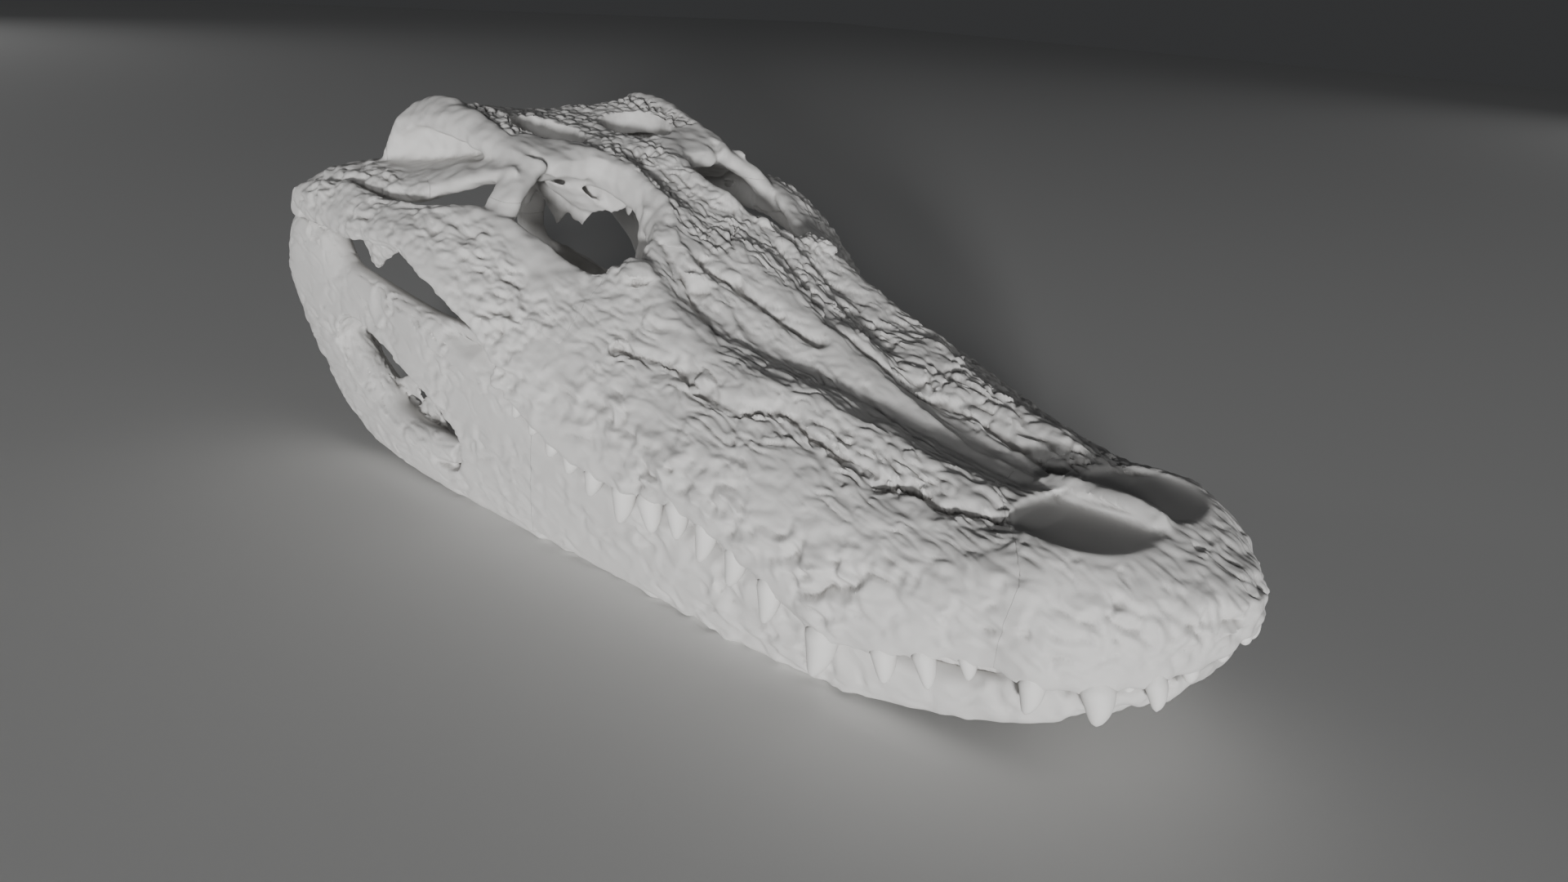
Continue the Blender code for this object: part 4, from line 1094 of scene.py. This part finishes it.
def upper_tooth(row, sign, gap=0.0):
    """A tooth of the upper row, or with a gap the cutter of its socket."""
    x, y, z, dx, dy, dz, width = row
    return tooth((sign * x, y, z + 1.0), (sign * dx, dy, dz - 1.0), width + 2.0 * gap)


def cut_sockets(cranium):
    """Leave a narrow gap round each upper tooth."""
    sockets = []
    for row in UPPER_TEETH:
        sockets += both_sides(upper_tooth(row, 1.0, SOCKET_GAP))
    cut_out(cranium, [join("sockets", sockets)])


def set_teeth():
    """All the teeth, as one piece for each bone that carries them."""
    pieces = {}
    for side, sign in SIDES:
        upper = [upper_tooth(row, sign) for row in UPPER_TEETH]
        lower = []
        for y, length, width in LOWER_TEETH:
            x, z = ramus_line(y)
            lower.append(tooth((sign * x, y, z - 1.0), (0.0, 0.6, length), width))
        rows = {"premaxilla": upper[:PREMAXILLA_TEETH], "maxilla": upper[PREMAXILLA_TEETH:],
                "dentary": lower}
        for bone, teeth in rows.items():
            pieces[bone + "_" + side] = join("teeth_" + bone + "_" + side, teeth)
    return pieces


def value_node(tree, kind, **inputs):
    """Add a node of a kind and set its inputs by name."""
    node = tree.nodes.new(kind)
    for key, value in inputs.items():
        node.inputs[key.replace("_", " ")].default_value = value
    return node


def mix_node(tree, inputs):
    """Add a node that mixes two colours, with the given inputs by number."""
    node = tree.nodes.new("ShaderNodeMix")
    node.data_type = "RGBA"
    for index, colour in inputs.items():
        node.inputs[index].default_value = (*colour, 1.0)
    return node


def bone_material(name, colour):
    """Dry matt bone: mottled, with painted shade in its creases, and a fine grain."""
    material = bpy.data.materials.new(name)
    material.use_nodes = True
    tree = material.node_tree
    shader = tree.nodes["Principled BSDF"]
    shader.inputs["Specular IOR Level"].default_value = 0.3
    place = tree.nodes.new("ShaderNodeTexCoord")
    cloud = value_node(tree, "ShaderNodeTexNoise", Scale=38.0, Detail=4.0)
    grain = value_node(tree, "ShaderNodeTexNoise", Scale=900.0, Detail=3.0)
    pores = value_node(tree, "ShaderNodeTexNoise", Scale=2600.0, Detail=2.0)
    mottle = mix_node(tree, {6: [c * 0.93 for c in colour], 7: [min(c * 1.04, 1.0) for c in colour]})
    # Painted shade: the crease layer mixes the colour towards a dark grey in the creases.
    crease = tree.nodes.new("ShaderNodeVertexColor")
    crease.layer_name = "crease"
    shade = mix_node(tree, {7: CREASE_SHADE_COLOUR})
    rough = value_node(tree, "ShaderNodeMapRange", To_Min=0.5, To_Max=0.72)
    total = value_node(tree, "ShaderNodeMath")
    bump = value_node(tree, "ShaderNodeBump", Strength=0.25, Distance=0.00012)
    links = [(place, "Object", node, "Vector") for node in (cloud, grain, pores)]
    links += [(cloud, "Fac", mottle, 0), (mottle, 2, shade, 6), (crease, "Color", shade, 0),
              (shade, 2, shader, "Base Color"), (grain, "Fac", rough, "Value"),
              (rough, "Result", shader, "Roughness"), (grain, "Fac", total, 0), (pores, "Fac", total, 1),
              (total, 0, bump, "Height"), (bump, "Normal", shader, "Normal")]
    for source, output, target, entry in links:
        tree.links.new(source.outputs[output], target.inputs[entry])
    return material


def add_camera():
    """The photograph's viewpoint, turned with the skull from the tables' frame to the floor's."""
    azimuth, elevation = math.radians(CAMERA_AZIMUTH), math.radians(CAMERA_ELEVATION)
    back = Vector((math.sin(azimuth) * math.cos(elevation), -math.cos(azimuth) * math.cos(elevation),
                   math.sin(elevation)))
    turn = back.to_track_quat("Z", "Y").to_matrix().to_4x4()
    roll = Matrix.Rotation(math.radians(CAMERA_ROLL), 4, "Z")
    camera = add_object("camera", bpy.data.cameras.new("camera"))
    camera.data.sensor_width = SENSOR
    camera.data.lens = CAMERA_FOCAL_PIXELS / IMAGE_WIDTH * SENSOR
    place = Matrix.Translation(REST @ Vector(CAMERA_PLACE))
    camera.matrix_world = place @ Matrix.Rotation(REST_PITCH, 4, "X") @ turn @ roll
    camera.data.clip_start = 0.01
    bpy.context.scene.camera = camera


def add_floor():
    corners = [(-FLOOR_HALF, -FLOOR_HALF, 0), (FLOOR_HALF, -FLOOR_HALF, 0),
               (FLOOR_HALF, FLOOR_HALF, 0), (-FLOOR_HALF, FLOOR_HALF, 0)]
    floor = new_object("floor", corners, [(0, 1, 2, 3)])
    material = bpy.data.materials.new("floor")
    material.use_nodes = True
    shader = material.node_tree.nodes["Principled BSDF"]
    shader.inputs["Base Color"].default_value = FLOOR_COLOUR
    shader.inputs["Roughness"].default_value = 0.9
    floor.data.materials.append(material)


def studio():
    """A low light from the camera's side, weaker ones above and beyond it, and dim light all round."""
    for name, (turn, distance, height, size, power) in LIGHTS.items():
        place = Matrix.Rotation(math.radians(turn), 4, "Z") @ Vector((0.0, -distance, height))
        light = add_object(name, bpy.data.lights.new(name, "AREA"))
        light.data.shape = "DISK"
        light.data.size = size
        light.data.energy = power
        light.location = place
        light.rotation_euler = (place - Vector(LIGHT_TARGET)).to_track_quat("Z", "Y").to_euler()
    world = bpy.data.worlds.new("studio")
    world.use_nodes = True
    sky = world.node_tree.nodes["Background"]
    sky.inputs["Color"].default_value = WORLD_COLOUR
    sky.inputs["Strength"].default_value = WORLD_STRENGTH
    bpy.context.scene.world = world


def main():
    bone = bone_material("bone", BONE_COLOUR)
    enamel = bone_material("tooth", TOOTH_COLOUR)
    cranium = build_cranium()
    jaw = build_jaw()
    surface = Surface(cranium)
    surface.push(top_relief(surface) + socket_relief(surface) + worn_relief(surface))
    surface.push(texture_cranium(surface))
    surface = Surface(jaw)
    surface.push(texture_jaw(surface))
    cut_sockets(cranium)
    bones = {**part_cranium(cranium), **part_jaw(jaw)}
    teeth = set_teeth()
    for item in teeth.values():
        item.data.transform(REST)
    set_down(bones.values())
    add_floor()
    add_camera()
    studio()
    for pieces in (bones, teeth):
        for node, item in pieces.items():
            item.data.polygons.foreach_set("use_smooth", [True] * len(item.data.polygons))
            item.data.set_sharp_from_angle(angle=SHARP_ANGLE)
            item.data.materials.clear()
            item.data.materials.append(bone if pieces is bones else enamel)
            # Paint shade into the creases of each piece, teeth too.
            paint_crease_shade(item, crease_shade_of(item))
            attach(item, "root")
    for node, item in bones.items():
        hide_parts(node)


main()
